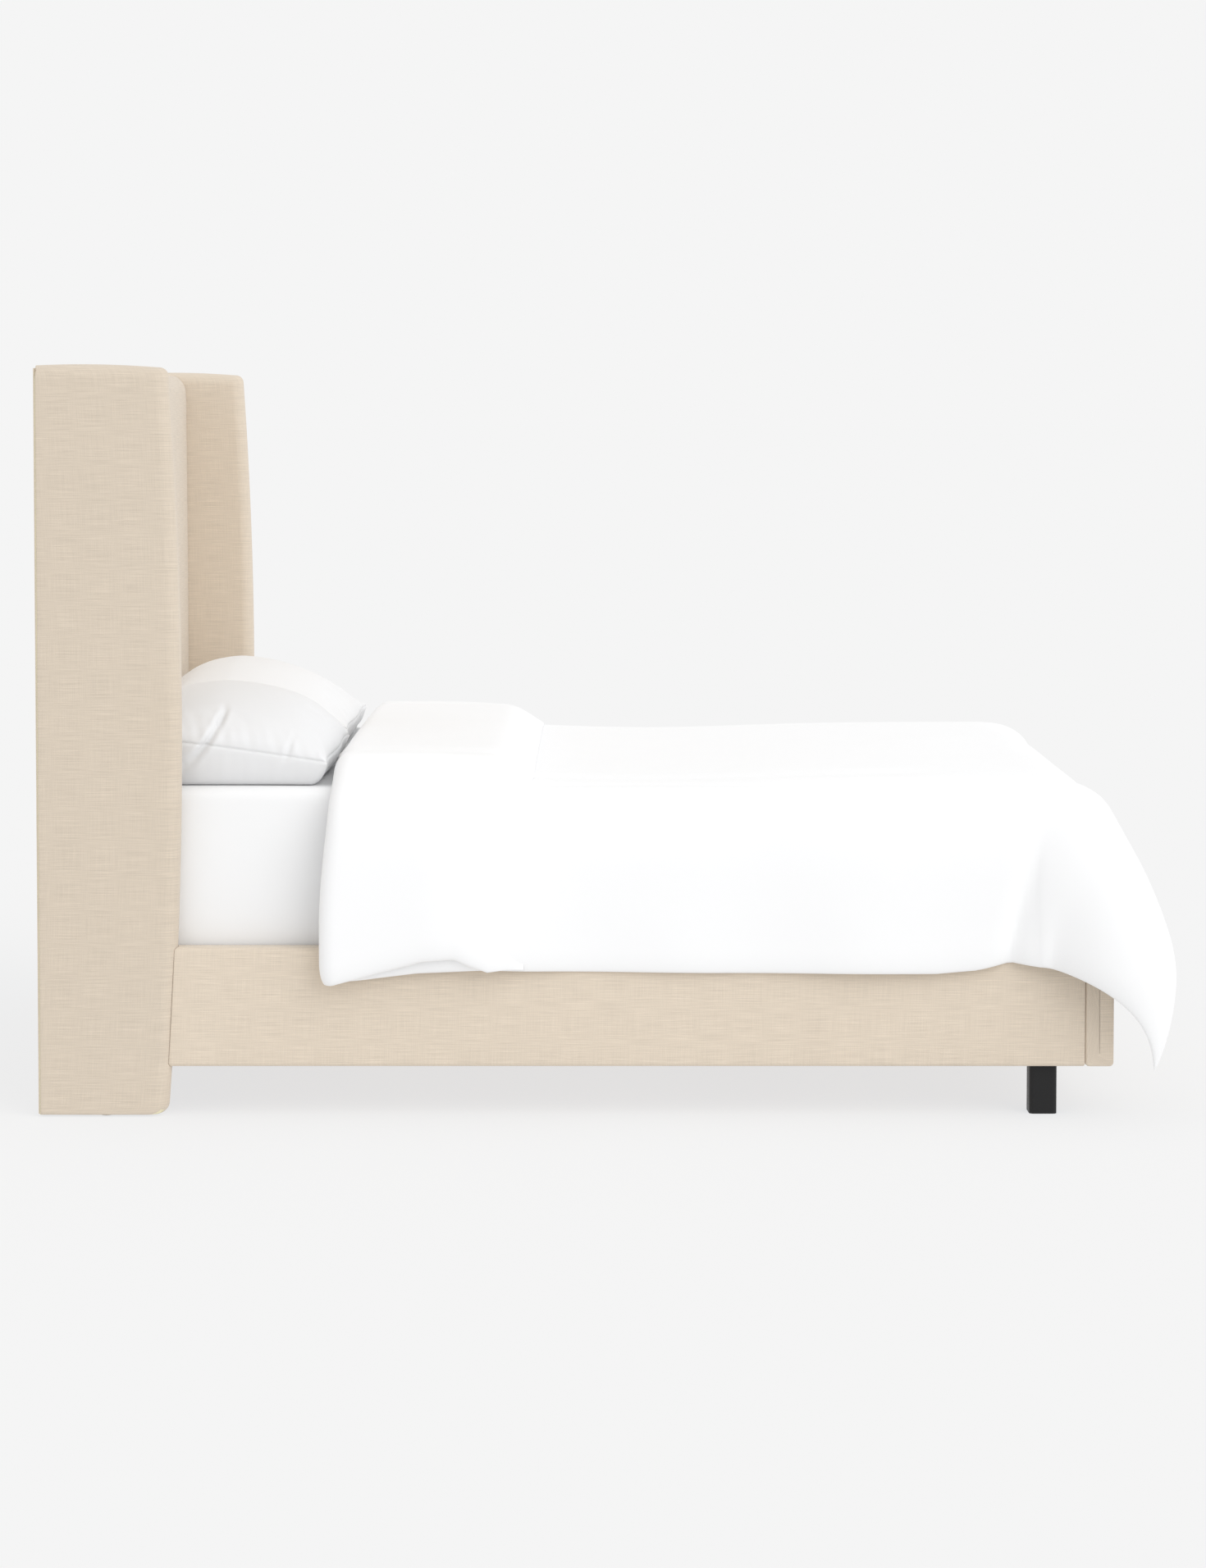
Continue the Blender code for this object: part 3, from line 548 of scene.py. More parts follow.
def headboard_points(sizes):
    """The headboard's cloth: a profile over base, face and rolled top, carried across the bed.

    Towards each side the profile is drawn in by a quarter round, and then turns in behind.
    """
    face = BACK - HEAD_LOW.y
    low, high = HEAD_LOW.z, HEAD_HIGH.z
    rear = BACK - HEAD_HIGH.y
    edge, roll, roll_z = 0.008, sizes.head_roll, 0.042
    lean_by, lean_from, swell_by = 0.0012, 1.0, 0.0014
    turn = np.linspace(0.0, QUARTER, 7)
    rolled = np.linspace(0.0, QUARTER, 14)
    z_face = np.linspace(low + edge, high - roll_z, 60)
    lean = lean_by * smooth((z_face - lean_from) / 0.42)
    swell = swell_by * np.sin(np.pi * (z_face - low) / (high - low)) ** 0.5
    depth = np.concatenate([
        np.linspace(rear + 0.02, face - edge, 8)[:-1],
        face - edge + edge * np.sin(turn),
        face - lean[1:-1] + swell[1:-1],
        face - lean[-1] - roll + roll * np.cos(rolled),
        np.linspace(face - lean[-1] - roll, rear + 0.001, 10)[1:],
    ])
    z = np.concatenate([
        np.full(7, low), low + edge - edge * np.cos(turn), z_face[1:-1],
        high - roll_z + roll_z * np.sin(rolled), np.full(9, high),
    ])
    normal = np.stack([np.gradient(z), -np.gradient(depth)], axis=1)
    normal /= np.linalg.norm(normal, axis=1, keepdims=True)
    side = HEAD_HIGH.x
    steps = end_steps(edge, 7)
    advance = np.concatenate([np.zeros(3), steps[:, 0], np.linspace(edge, 0.05, 5)[1:]])
    inset = np.concatenate([[0.030, 0.022, 0.015], steps[:, 1], np.zeros(4)])
    middle = np.linspace(-side + 0.05, side - 0.05, 60)[1:-1]
    x = np.concatenate([-side + advance, middle, (side - advance)[::-1]])
    inset = np.concatenate([inset, np.zeros(len(middle)), inset[::-1]])
    drawn = inset[None, :] * np.ones((len(z), 1))
    return np.stack([
        np.broadcast_to(x, drawn.shape),
        BACK - (depth[:, None] - normal[:, :1] * drawn),
        z[:, None] - normal[:, 1:] * drawn,
    ], axis=-1)


def side_rail_points(sizes, side):
    """A side rail's cloth: a rounded section carried from the wing's round front to the foot."""
    wide, tall = RAIL_HIGH.x - RAIL_LOW.x, RAIL_HIGH.z - RAIL_LOW.z
    centre = (RAIL_HIGH.x + RAIL_LOW.x) / 2
    middle_z = (RAIL_HIGH.z + RAIL_LOW.z) / 2
    foot = BACK - RAIL_LOW.y
    steps = end_steps(0.0035, 6)
    reach, short = 1.6, 0.02
    straight = np.linspace(reach, short, 90)
    advance = np.concatenate([straight, steps[::-1, 0], [0.0]])
    inset = np.concatenate([np.zeros(len(straight)), steps[::-1, 1], [0.012]])
    wing_middle = (WING_HIGH.x + WING_LOW.x) / 2
    rings = []
    for ahead, drawn in zip(advance, inset):
        ring = section(wide - 2 * drawn, tall - 2 * drawn, sizes.rail_round - drawn)
        x = centre + ring[:, 0]
        z = middle_z + ring[:, 1]
        near = 1.0 - np.clip(np.abs(x - wing_middle) / sizes.wing_round, 0.0, 0.999)
        contact = wing_front(sizes, z) - sizes.wing_round * (1.0 - rise(near, 1.0)) + 0.001
        share = np.clip((ahead - short) / (reach - short), 0.0, 1.0)
        depth = (foot - ahead) * (1.0 - share) + contact * share
        bulge = 0.0010 * np.cos(np.pi * ring[:, 1] / tall) * (ring[:, 0] > 0.0)
        rings.append(np.stack([side * (x + bulge), BACK - depth, z], axis=1))
    return np.stack(rings, axis=1)


def foot_rail_points(sizes):
    """The foot rail's cloth: a rounded section carried across the bed, closed by round ends."""
    deep, tall = FOOT_HIGH.y - FOOT_LOW.y, FOOT_HIGH.z - FOOT_LOW.z
    centre = BACK - (FOOT_HIGH.y + FOOT_LOW.y) / 2
    middle_z = (FOOT_HIGH.z + FOOT_LOW.z) / 2
    steps = end_steps(0.006, 8)
    flat = np.linspace(deep / 2 - 0.0002, 0.006, 8)[:-1]
    advance = np.concatenate([np.zeros(len(flat)), steps[:, 0]])
    inset = np.concatenate([flat, steps[:, 1]])
    body = np.linspace(-FOOT_HIGH.x + 0.03, FOOT_HIGH.x - 0.03, 50)
    x = np.concatenate([-FOOT_HIGH.x + advance, body, (FOOT_HIGH.x - advance)[::-1]])
    inset = np.concatenate([inset, np.zeros(len(body)), inset[::-1]])
    rings = []
    for place, drawn in zip(x, inset):
        ring = section(deep - 2 * drawn, tall - 2 * drawn, sizes.rail_round - drawn)
        depth = centre + ring[:, 0]
        rings.append(np.stack([np.full(len(ring), place), BACK - depth, middle_z + ring[:, 1]], 1))
    return np.stack(rings, axis=1)


# Bedding ---------------------------------------------------------------------------------------


def mattress_points(inset, low):
    """A soft block: rings of a rounded rectangle from the middle of its top, out and down.

    The top is crowned by 1 - (1 - e)^2, with e the share of the way in from the edge.
    """
    half_x, half_y = SHEET_HIGH.x, (SHEET_HIGH.y - SHEET_LOW.y) / 2
    centre_y = (SHEET_HIGH.y + SHEET_LOW.y) / 2
    edge, crown, top = 0.024, 0.0006, SHEET_HIGH.z - 0.0005
    corner, belly_by, belly_tall = 0.055, 0.0015, 0.32
    reach = half_x - 0.001
    e_top = np.linspace(reach, edge, 26)[:-1]
    steps = end_steps(edge, 9)
    fall = np.linspace(edge, top - crown - low, 26)[1:]
    e = np.concatenate([e_top, steps[:, 1], np.zeros(len(fall)), [0.004, 0.016]])
    inner = np.clip((e - edge) / (reach - edge), 0.0, 1.0)
    z_top = top - crown + crown * (1.0 - (1.0 - inner) ** 2)
    down = np.concatenate([np.zeros(len(e_top)), steps[:, 0], fall, [fall[-1] + 0.002] * 2])
    rings = []
    for drawn, z, drop in zip(e, z_top, down):
        ring = section(
            2 * (half_x - drawn - inset), 2 * (half_y - drawn - inset), corner - drawn,
            arc=8, side=30,
        )
        belly = belly_by * math.sin(math.pi * min(max(drop, 0.0) / belly_tall, 1.0))
        ring = ring * (1.0 + belly / half_x)
        level = np.full(len(ring), z - drop - inset)
        rings.append(np.stack([ring[:, 0], centre_y + ring[:, 1], level], axis=1))
    return np.stack(rings, axis=0)


# A pillow's sheets: the power of their swell, the reach of the swell at its two ends, and the
# radius by which the lower sheet falls to the mattress.
PILLOW_ROUND = 1.6
PILLOW_END = 0.30
PILLOW_UNDER = 0.034
# How far a pillow's sides are drawn in between its corners, as a share of its half size.
DRAWN_SIDE = 0.018
DRAWN_FRONT = 0.022
# Height of a pillow's seam over the mattress against depth.
SEAM_HEIGHT = ((0.13, 0.094), (0.28, 0.0857), (0.34, 0.079), (0.45, 0.064), (0.57, 0.0464))
# Distances from the seam at which the pillow's grid is closest.
SEAM_STEPS = (0.0, 7e-6, 3e-5, 8e-5, 2e-4, 5e-4, 0.001, 0.0018, 0.003, 0.0046, 0.0066, 0.009)
SEAM_DENT = 0.0024
SEAM_WIDTH = 0.0026
PUFF_FRAMES = 20
# How far a pillow sinks into the sheet.
PILLOW_SINK = 0.0003
# Creases in the pillowcases' outer ends: how deep, how wide, and a path of (depth, height).
NEAR_CREASES = (
    (0.0125, 0.0060, ((0.344, 0.176), (0.3525, 0.144), (0.340, 0.113), (0.323, 0.086),
                      (0.301, 0.059), (0.276, 0.040))),
    (0.0045, 0.0050, ((0.492, 0.100), (0.486, 0.078), (0.478, 0.052))),
    (0.0022, 0.0040, ((0.540, 0.075), (0.538, 0.062))),
)
FAR_CREASES = (
    (0.0045, 0.0060, ((0.410, 0.150), (0.425, 0.110), (0.400, 0.070), (0.380, 0.045))),
    (0.0030, 0.0050, ((0.250, 0.120), (0.262, 0.090), (0.256, 0.065))),
)
# The two pillows: where the crown is (-1 head, 1 front), the swell's powers towards the front and
# the head, the height, how far the front reaches past the CAD pillowcase, and a tone of painted light
# that makes the far pillow lighter than the near one.
PILLOWS = {
    "left": {"crown_at": -0.10, "front": 0.42, "head": 0.42, "height": 0.1785,
             "over": 0.0050, "painted_light": 1.012, "creases": NEAR_CREASES},
    "right": {"crown_at": -0.27, "front": 0.72, "head": 0.40, "height": 0.180,
              "over": -0.006, "painted_light": 1.080, "creases": FAR_CREASES},
}


def table_at(table, value):
    """A table of (mark, value) read off at a mark, straight between its rows."""
    marks, values = np.array(table, float).T
    return np.interp(value, marks, values)


def pillow_sheets(a, b, shape):
    """The two sheets of a pillow, sewn round a rectangle with sides drawn in between its corners.

    The upper one stands over the seam by H * fx * fy, each f being (1 - (1 - t)^1.6)^p of the
    share t of the way in from that edge. The lower one falls to the mattress by quarter rounds.
    """
    low, high = shape["box"]
    half_x, half_y = (high[0] - low[0]) / 2, (high[1] - low[1]) / 2
    in_x, in_y = (1.0 - np.abs(a)) * half_x, (1.0 - np.abs(b)) * half_y
    x = (low[0] + high[0]) / 2 + a * half_x * (1.0 - DRAWN_SIDE * (1.0 - b**2))
    depth = (low[1] + high[1]) / 2 + b * half_y * (1.0 - DRAWN_FRONT * (a**2 - a**4) * 4.0)
    edge = np.exp(-np.minimum(in_x, in_y) / 0.02)
    wave = 0.0021 * np.sin(depth * 118.0 + 0.7) + 0.0015 * np.sin(depth * 251.0 + x * 90.0)
    seam = table_at(SEAM_HEIGHT, depth) + edge * wave
    crown_at = shape["crown_at"]
    ahead = np.where(b > crown_at, (1 - b) / (1 - crown_at), (1 + b) / (1 + crown_at))
    power = np.where(b > crown_at, shape["front"], shape["head"])
    at_x = np.clip(in_x / PILLOW_END, 0.0, 1.0)
    over_x = (1.0 - (1.0 - at_x) ** PILLOW_ROUND) ** 0.42
    over_y = (1.0 - (1.0 - np.clip(ahead, 0.0, 1.0)) ** PILLOW_ROUND) ** power
    upper = seam + (shape["height"] - seam) * over_x * over_y
    lower = seam * (1.0 - rise(in_x, PILLOW_UNDER) * rise(in_y, PILLOW_UNDER))
    x, depth = np.broadcast_arrays(x, depth)
    return np.stack([x, depth, upper], axis=-1), np.stack([x, depth, lower], axis=-1)


def blown(name, sheets):
    """How far each point of two sewn sheets moves when cloth is blown up under pressure."""
    rows, columns = sheets[0].shape[:2]
    points = np.concatenate([sheet.reshape(-1, 3) for sheet in sheets])
    rim = np.ones((rows, columns), bool)
    rim[1:-1, 1:-1] = False
    index = np.arange(2 * rows * columns)
    index[rows * columns:][rim.ravel()] = np.arange(rows * columns)[rim.ravel()]
    mesh = bpy.data.meshes.new(name)
    mesh.from_pydata(points.tolist(), [], index[sewn_quads(rows, columns)].tolist())
    obj = bpy.data.objects.new(name, mesh)
    scene = bpy.context.scene
    scene.collection.objects.link(obj)
    cloth = obj.modifiers.new("puff", "CLOTH").settings
    cloth.quality = 6
    cloth.mass = 0.3
    cloth.use_pressure = True
    cloth.uniform_pressure_force = 4.0
    cloth.tension_stiffness = 15.0
    cloth.compression_stiffness = 15.0
    cloth.bending_stiffness = 0.3
    cloth.effector_weights.gravity = 0.0
    for step in range(1, PUFF_FRAMES + 1):
        scene.frame_set(step)
    evaluated = obj.evaluated_get(bpy.context.evaluated_depsgraph_get())
    ended = np.empty(len(evaluated.data.vertices) * 3)
    evaluated.data.vertices.foreach_get("co", ended)
    bpy.data.objects.remove(obj)
    scene.frame_set(1)
    ended = ended.reshape(-1, 3)[index]
    return (ended - points).reshape(2, rows, columns, 3)


def grid_between(field, rows, columns, to_rows, to_columns):
    """A field on one grid read off at another grid's rows and columns, straight between."""
    flat = field.reshape(len(rows), -1)
    flat = np.stack([np.interp(to_rows, rows, line) for line in flat.T], axis=1)
    field = flat.reshape(len(to_rows), len(columns), -1).transpose(0, 2, 1)
    read = [[np.interp(to_columns, columns, line) for line in plane] for plane in field]
    return np.array(read).transpose(0, 2, 1)


def path_distance(x, y, path):
    """Distance to a broken line, and the share of the way along it."""
    best, where = np.full(x.shape, 9.0), np.zeros(x.shape)
    for number, (start, end) in enumerate(zip(path, path[1:])):
        run = np.subtract(end, start)
        share = ((x - start[0]) * run[0] + (y - start[1]) * run[1]) / (run @ run)
        share = np.clip(share, 0.0, 1.0)
        away = np.hypot(x - start[0] - share * run[0], y - start[1] - share * run[1])
        where = np.where(away < best, (number + share) / (len(path) - 1), where)
        best = np.minimum(best, away)
    return best, where


def pillow_lines(half, count):
    """Places from -1 to 1 across a pillow of a given half size, closest at its two seams."""
    edge = -1.0 + np.array(SEAM_STEPS) / half
    between = np.linspace(edge[-1], -edge[-1], count)[1:-1]
    return np.concatenate([edge, between, -edge[::-1]])


def puffed(name, a, b, shape):
    """How far the upper sheet is blown out at each line: a rough pillow is blown up in its place."""
    rough_a, rough_b = np.linspace(-1, 1, 62), np.linspace(-1, 1, 44)
    moved = blown(name, pillow_sheets(rough_a[None], rough_b[:, None], shape))
    moved -= moved.mean(axis=(0, 1, 2))
    reach = np.linalg.norm(moved, axis=-1, keepdims=True)
    moved *= np.minimum(reach, shape["cap"]) / np.maximum(reach, 1e-9)
    return grid_between(moved[0], rough_b, rough_a, b, a)


def press_seam(sheet, toward_x, toward_y, in_x, in_y):
    """Draws the cloth in along the seam, by a bell curve of the height over or under it."""
    stands = np.abs(sheet[..., 2] - table_at(SEAM_HEIGHT, sheet[..., 1]))
    groove = SEAM_DENT * hump(stands, 0.0, SEAM_WIDTH)
    sheet[..., 0] -= toward_x * groove * np.exp(-in_x / 0.003)
    sheet[..., 1] -= toward_y * groove * np.exp(-in_y / 0.003)


def press_creases(sheet, creases, side, at_end):
    """Presses creases in at the pillow's outer end, with a low swell of the cloth beside each."""
    for deep, wide, path in creases:
        away, share = path_distance(sheet[..., 1], sheet[..., 2], path)
        fade = np.sin(np.pi * np.clip(share, 0.06, 0.94)) ** 0.7
        dent = deep * fade * (hump(away, 0.0, wide) - 0.12 * hump(away, 2.2 * wide, wide))
        sheet[..., 0] -= side * dent * at_end
        sheet[..., 2] -= 0.5 * dent * at_end * (sheet[..., 2] > 0.12)


def pillow_mesh(name, side, shape):
    """A pillow that lies on the mattress, in its case, with its seam and a few creases."""
    low, high = shape["box"]
    half_x, half_y = (high[0] - low[0]) / 2, (high[1] - low[1]) / 2
    a, b = pillow_lines(half_x, 112), pillow_lines(half_y, 110)
    toward_x, toward_y = np.sign(a[None]), np.sign(b[:, None])
    in_x = (1.0 - np.abs(a[None])) * half_x
    in_y = (1.0 - np.abs(b[:, None])) * half_y
    sheets = np.array(pillow_sheets(a[None], b[:, None], shape))
    held = smooth(np.minimum(in_x, in_y) / 0.05)[..., None]
    sheets[0] += held * puffed(name, a, b, shape)
    at_end = smooth(1.0 - (in_x - 0.02) / 0.10) * (toward_x == side)
    for sheet in sheets:
        press_seam(sheet, toward_x, toward_y, in_x, in_y)
        press_creases(sheet, shape["creases"], side, at_end)
    sheets[..., 2] = np.maximum(sheets[..., 2], 0.0) + SHEET_HIGH.z - PILLOW_SINK
    sheets[..., 1] = BACK - sheets[..., 1]
    return mesh_of(name, sheets.reshape(-1, 3), sewn_quads(*sheets[0].shape[:2]))


# The duvet: half the width of its flat top, and where it is folded back, where the fold's hem
# lies and where it starts to fall at the foot.
TOP_HALF = 0.600
FOLD_AT = 0.572
FOLD_HEM = 0.968
FOOT_START = 1.950
# Length that hangs past each edge and over the corner's fold. The side's reaches the height
# SIDE_HEM over the floor.
SIDE_HANG = 0.452
SIDE_HEM = 0.286
FOOT_HANG = 0.455
RIDGE_HANG = 0.5516
# The share of its curve's way out that the corner's fold takes, and its turn towards the foot.
RIDGE_REACH = 0.80
RIDGE_TURN = 0.087
# Length over which the filling thins to a hem.
TAPER = 0.045
# The folded part: its extra filling, and its step at the hem, where it lies flatter.
FOLD_LOFT = 0.009
HEM_STEP = 0.0138
# How far the filling is pressed into the sheet.
DUVET_SINK = 0.0022
# Slope in degrees against the length run past the shoulder.
SIDE_SLOPE = ((0, 4), (0.06, 14), (0.18, 78), (0.26, 86), (0.45, 89), (0.70, 90))
FOOT_SLOPE = ((0, 0), (0.06, 14), (0.15, 70), (0.25, 80), (0.40, 88), (0.70, 90))
RIDGE_SLOPE = (
    (0, 2), (0.10, 5), (0.17, 20), (0.22, 50), (0.33, 50), (0.42, 58), (0.50, 64), (0.56, 78),
    (0.62, 98), (0.80, 106),
)
# Height of the hem over the floor against depth, on the bed's sides.
HEM_UNDER = (
    (0.57, 0.262), (0.65, 0.268), (0.75, 0.282), (0.85, 0.287), (0.97, 0.289), (1.30, 0.286),
    (1.75, 0.285), (1.83, 0.292), (1.896, 0.307), (1.95, 0.300), (3.0, 0.300),
)
HEM_OVER = (
    (0.57, 0.2594), (0.60, 0.261), (0.64, 0.272), (0.70, 0.290), (0.76, 0.307), (0.823, 0.3117),
    (0.855, 0.298), (0.894, 0.286), (0.935, 0.2925), (0.97, 0.293),
)


def duvet_rows(sizes):
    """Along the duvet, from the hem of the fold, round the turn at the head, to the foot's hem.

    Gives the place along the bed, the layer (1 over, 0 under), and the run to the nearer hem.
    """
    turn_r = sizes.duvet_step / 2
    turn_at = FOLD_AT + turn_r + 0.017
    over = FOLD_HEM - np.concatenate([
        rise_steps(TAPER, 2.0, 9)[:-1], np.linspace(TAPER, FOLD_HEM - turn_at, 34),
    ])
    angles = np.linspace(QUARTER, -QUARTER, 13)[1:-1]
    flat = np.linspace(turn_at, FOOT_START, 110)
    hang = np.concatenate([
        np.linspace(0.0, FOOT_HANG - TAPER, 44)[1:],
        (FOOT_HANG - rise_steps(TAPER, 2.0, 9)[::-1])[1:],
    ])
    along = np.concatenate([over, turn_at - turn_r * np.cos(angles), flat, FOOT_START + hang])
    layer = np.concatenate([
        np.ones(len(over)), 0.5 + 0.5 * np.sin(angles), np.zeros(len(flat) + len(hang)),
    ])
    run = np.concatenate([
        FOLD_HEM - over, np.full(len(angles) + len(flat), 1.0), FOOT_HANG - hang,
    ])
    return along[:, None], layer[:, None], run[:, None]


def duvet_columns():
    """Across the duvet: the place on the top, the share of the way down to the hem, the side."""
    on_top = np.linspace(0.0, TOP_HALF, 34)[:-1]
    down = np.concatenate([
        np.linspace(0.0, 1.0 - TAPER / SIDE_HANG, 46)[:-1],
        1.0 - (rise_steps(TAPER, 2.0, 9) / SIDE_HANG)[::-1],
    ])
    place = np.concatenate([on_top, np.full(len(down), TOP_HALF)])
    share = np.concatenate([np.zeros(len(on_top)), down])
    sign = np.concatenate([-np.ones(len(place)), np.ones(len(place) - 1)])
    place = np.concatenate([place[::-1], place[1:]])
    share = np.concatenate([share[::-1], share[1:]])
    return place[None], share[None], sign[None]


def duvet_fall(share, past, side_length):
    """How far out and down the duvet hangs, and the way it goes out, as an angle from the side.

    Each is a weighted mean of the side's, the foot's and the corner fold's curves, by the angle
    round the corner.
    """
    fall = np.hypot(share, past)
    angle = np.arctan2(past + 0.0 * share, share + 1e-9)
    corner = np.sin(2 * angle) ** 2
    curves = (
        (SIDE_SLOPE, side_length * fall, (1 - corner) * np.cos(angle) ** 2, 1.0),
        (FOOT_SLOPE, FOOT_HANG * fall, (1 - corner) * np.sin(angle) ** 2, 1.0),
        (RIDGE_SLOPE, RIDGE_HANG * fall, corner, RIDGE_REACH),
    )
    out, drop = np.zeros(fall.shape), np.zeros(fall.shape)
    for table, length, part, reach in curves:
        marks, outs, drops = turning(table)
        out += part * reach * np.interp(length, marks, outs)
        drop += part * np.interp(length, marks, drops)
    return out, drop, angle + RIDGE_TURN * corner


def duvet_lean(share, side_length):
    """Which way is out of the duvet, as (out, up): square to the side's curve, or up on the top."""
    marks, outs, drops = turning(SIDE_SLOPE)
    run = side_length * share
    lean_out = np.interp(run, marks, np.gradient(drops, marks))
    lean_up = np.interp(run, marks, np.gradient(outs, marks))
    return np.where(share > 0.0, lean_out, 0.0), np.where(share > 0.0, lean_up, 1.0)


def duvet_heaps(along, across):
    """Low soft heaps in the filling, as a sum of bell curves at set random places."""
    random = np.random.default_rng(11)
    total = np.zeros(np.broadcast(along, across).shape)
    for _ in range(46):
        at_y, at_x = random.uniform(0.6, 2.3), random.uniform(-1.05, 1.05)
        size = random.uniform(0.07, 0.20)
        height = random.uniform(-0.0018, 0.0034)
        total += height * hump(along, at_y, size * 1.3) * hump(across, at_x, size)
    return np.maximum(total, -0.001)


def duvet_relief(along, layer, share, past, across, sign):
    """How far the duvet's skin stands out: bell curves for each soft fold, and a sine at the hem."""
    low_down = smooth((share - 0.3) / 0.6)
    crease_at = 1.945 - (share - 0.5) * 0.104
    crease = 0.016 * low_down * hump(along, crease_at, 0.024)
    puff = 0.010 * low_down * hump(along, crease_at + 0.075, 0.05)
    wave = 0.0035 * np.sin(along * 17.0 + 1.3 + 2.0 * sign) * smooth((share - 0.25) / 0.7)
    sag = 0.013 * hump(along, 1.18, 0.32)
    shoulder = 0.006 * hump(across, 0.565, 0.030) * smooth((FOOT_START - 0.1 - along) / 0.2)
    tucked = hump(across, 0.685, 0.028) - 0.5 * hump(across, 0.630, 0.022)
    trough = shoulder + 0.010 * tucked * layer * smooth((0.90 - along) / 0.15)
    heaps = duvet_heaps(along, across * sign)
    return heaps - sag - trough - (1 - layer) * (crease - puff) + wave * (1 - smooth(past * 6))


def duvet_layers(sizes):
    """Middle surface, half thickness and cloth coordinates of the duvet, as grids.

    On the mattress it lies flat, and past the side and the foot it hangs. The part that is folded
    back rests on the part under it.
    """
    along, layer, run = duvet_rows(sizes)
    place, share, sign = duvet_columns()
    across = place + share * SIDE_HANG
    past = np.maximum(along - FOOT_START, 0.0) / FOOT_HANG
    hanging = smooth(share / 0.4)
    hem = table_at(HEM_UNDER, along) * (1 - layer) + table_at(HEM_OVER, along) * layer
    side_length = SIDE_HANG + SIDE_HEM - hem
    out, drop, heading = duvet_fall(share, past, side_length)
    lean_out, lean_up = duvet_lean(share, side_length)

    filling = sizes.duvet_loft + FOLD_LOFT * (1.0 - smooth((along - 0.86) / 0.12))
    loft = filling * (1.0 - 0.25 * np.maximum(hanging, smooth(past / 0.3)))
    hem_run = np.clip((FOLD_HEM - along) / (0.085 + 0.13 * hanging), 0.0, 1.0)
    step = HEM_STEP + (sizes.duvet_step - HEM_STEP) * smooth(hem_run)
    lift = layer * step * (1.0 - 0.3 * hanging)
    under = loft / 2 * rise((1.0 - share) * side_length, TAPER)
    folded_hem = layer * hanging * (along > FOLD_AT + 0.1)
    soft_edge = 1.0 - (1.0 - np.clip(run / 0.20, 0.0, 1.0)) ** 2
    half = under * (rise(run, TAPER) * (1 - folded_hem) + soft_edge * folded_hem)
    upper, lower = lift + half, np.maximum(lift - half, under + 0.0003)
    resting = layer > 0.999
    half = np.maximum(np.where(resting, (upper - lower) / 2, half), 0.0)
    raised = np.where(resting, (upper + lower) / 2, lift)

    push = raised + duvet_relief(along, layer, share, past, across, sign)
    x = sign * (place + out * np.cos(heading) + push * lean_out)
    near_head = 1.0 - smooth((along - 0.575) / 0.30)
    hem_wave = (0.022 * share + 0.004 * np.sin(share * 9.0 + 1.0)) * smooth((along - 0.70) / 0.25)
    depth = np.minimum(along, FOOT_START) + out * np.sin(heading)
    depth = depth - 0.026 * smooth(share * 1.3) * near_head - hem_wave * layer
    shoulder = 0.0052 * (np.maximum(place - 0.45, 0) / 0.15) ** 2
    z = SHEET_HIGH.z - DUVET_SINK + filling / 2 - shoulder - drop + push * lean_up
    middle = np.stack([x + 0 * z, BACK - depth + 0 * z, z], axis=-1)
    unfolded = np.where(layer > 0.5, 2 * FOLD_AT - along, along)
    uvs = np.stack(np.broadcast_arrays(across * sign, unfolded), axis=-1)
    return middle, half, uvs


def duvet_mesh(sizes):
    """The duvet's cloth: half a thickness out to each side of its middle surface."""
    middle, half, uvs = duvet_layers(sizes)
    normal = grid_normals(middle) * half[..., None]
    points = np.concatenate([(middle + normal).reshape(-1, 3), (middle - normal).reshape(-1, 3)])
    faces = sewn_quads(*middle.shape[:2])
    return mesh_of("duvet_filled", points, faces, np.concatenate([uvs.reshape(-1, 2)] * 2))


# Operators -------------------------------------------------------------------------------------


class BED_OT_wings(bpy.types.Operator):
    """Sew the linen round the two wings"""

    bl_idname = "bed.wings"
    bl_label = "Wings"

    def execute(self, context):
        sizes, colours = context.scene.bed_sizes, context.scene.bed_colours
        for name, side in SIDES:
            # The right wing's linen is made lighter than the left's as painted light.
            finish = linen_finish(f"linen_wing_{name}", shaded(colours.linen, WING_PAINTED_LIGHT[name]))
            points = wing_points(sizes, side)
            piece = linen_piece(f"wing_{name}_linen", points, finish, f"wing_{name}_cover")
        return {"FINISHED"}


class BED_OT_headboard(bpy.types.Operator):
    """Sew the linen over the headboard's padded face"""

    bl_idname = "bed.headboard"
    bl_label = "Headboard"

    def execute(self, context):
        sizes, colours = context.scene.bed_sizes, context.scene.bed_colours
        finish = linen_finish("linen_headboard", colours.linen)
        points = headboard_points(sizes)
        piece = linen_piece("headboard_linen", points, finish, "headboard_cover")
        return {"FINISHED"}


class BED_OT_rails(bpy.types.Operator):
    """Sew the linen round the side rails and the foot rail"""

    bl_idname = "bed.rails"
    bl_label = "Rails"

    def execute(self, context):
        sizes, colours = context.scene.bed_sizes, context.scene.bed_colours
        # The rails' linen is made lighter than the wings' as painted light.
        for name, side in SIDES:
            finish = linen_finish(f"linen_rail_{name}", shaded(colours.linen, RAIL_PAINTED_LIGHT))
            points = side_rail_points(sizes, side)
            rail = f"side_rail_{name}"
            piece = linen_piece(f"{rail}_linen", points, finish, f"{rail}_cover")
        finish = linen_finish("linen_foot_rail", shaded(colours.linen, RAIL_PAINTED_LIGHT))
        points = foot_rail_points(sizes)
        piece = linen_piece("foot_rail_linen", points, finish, "foot_rail_cover")
        return {"FINISHED"}


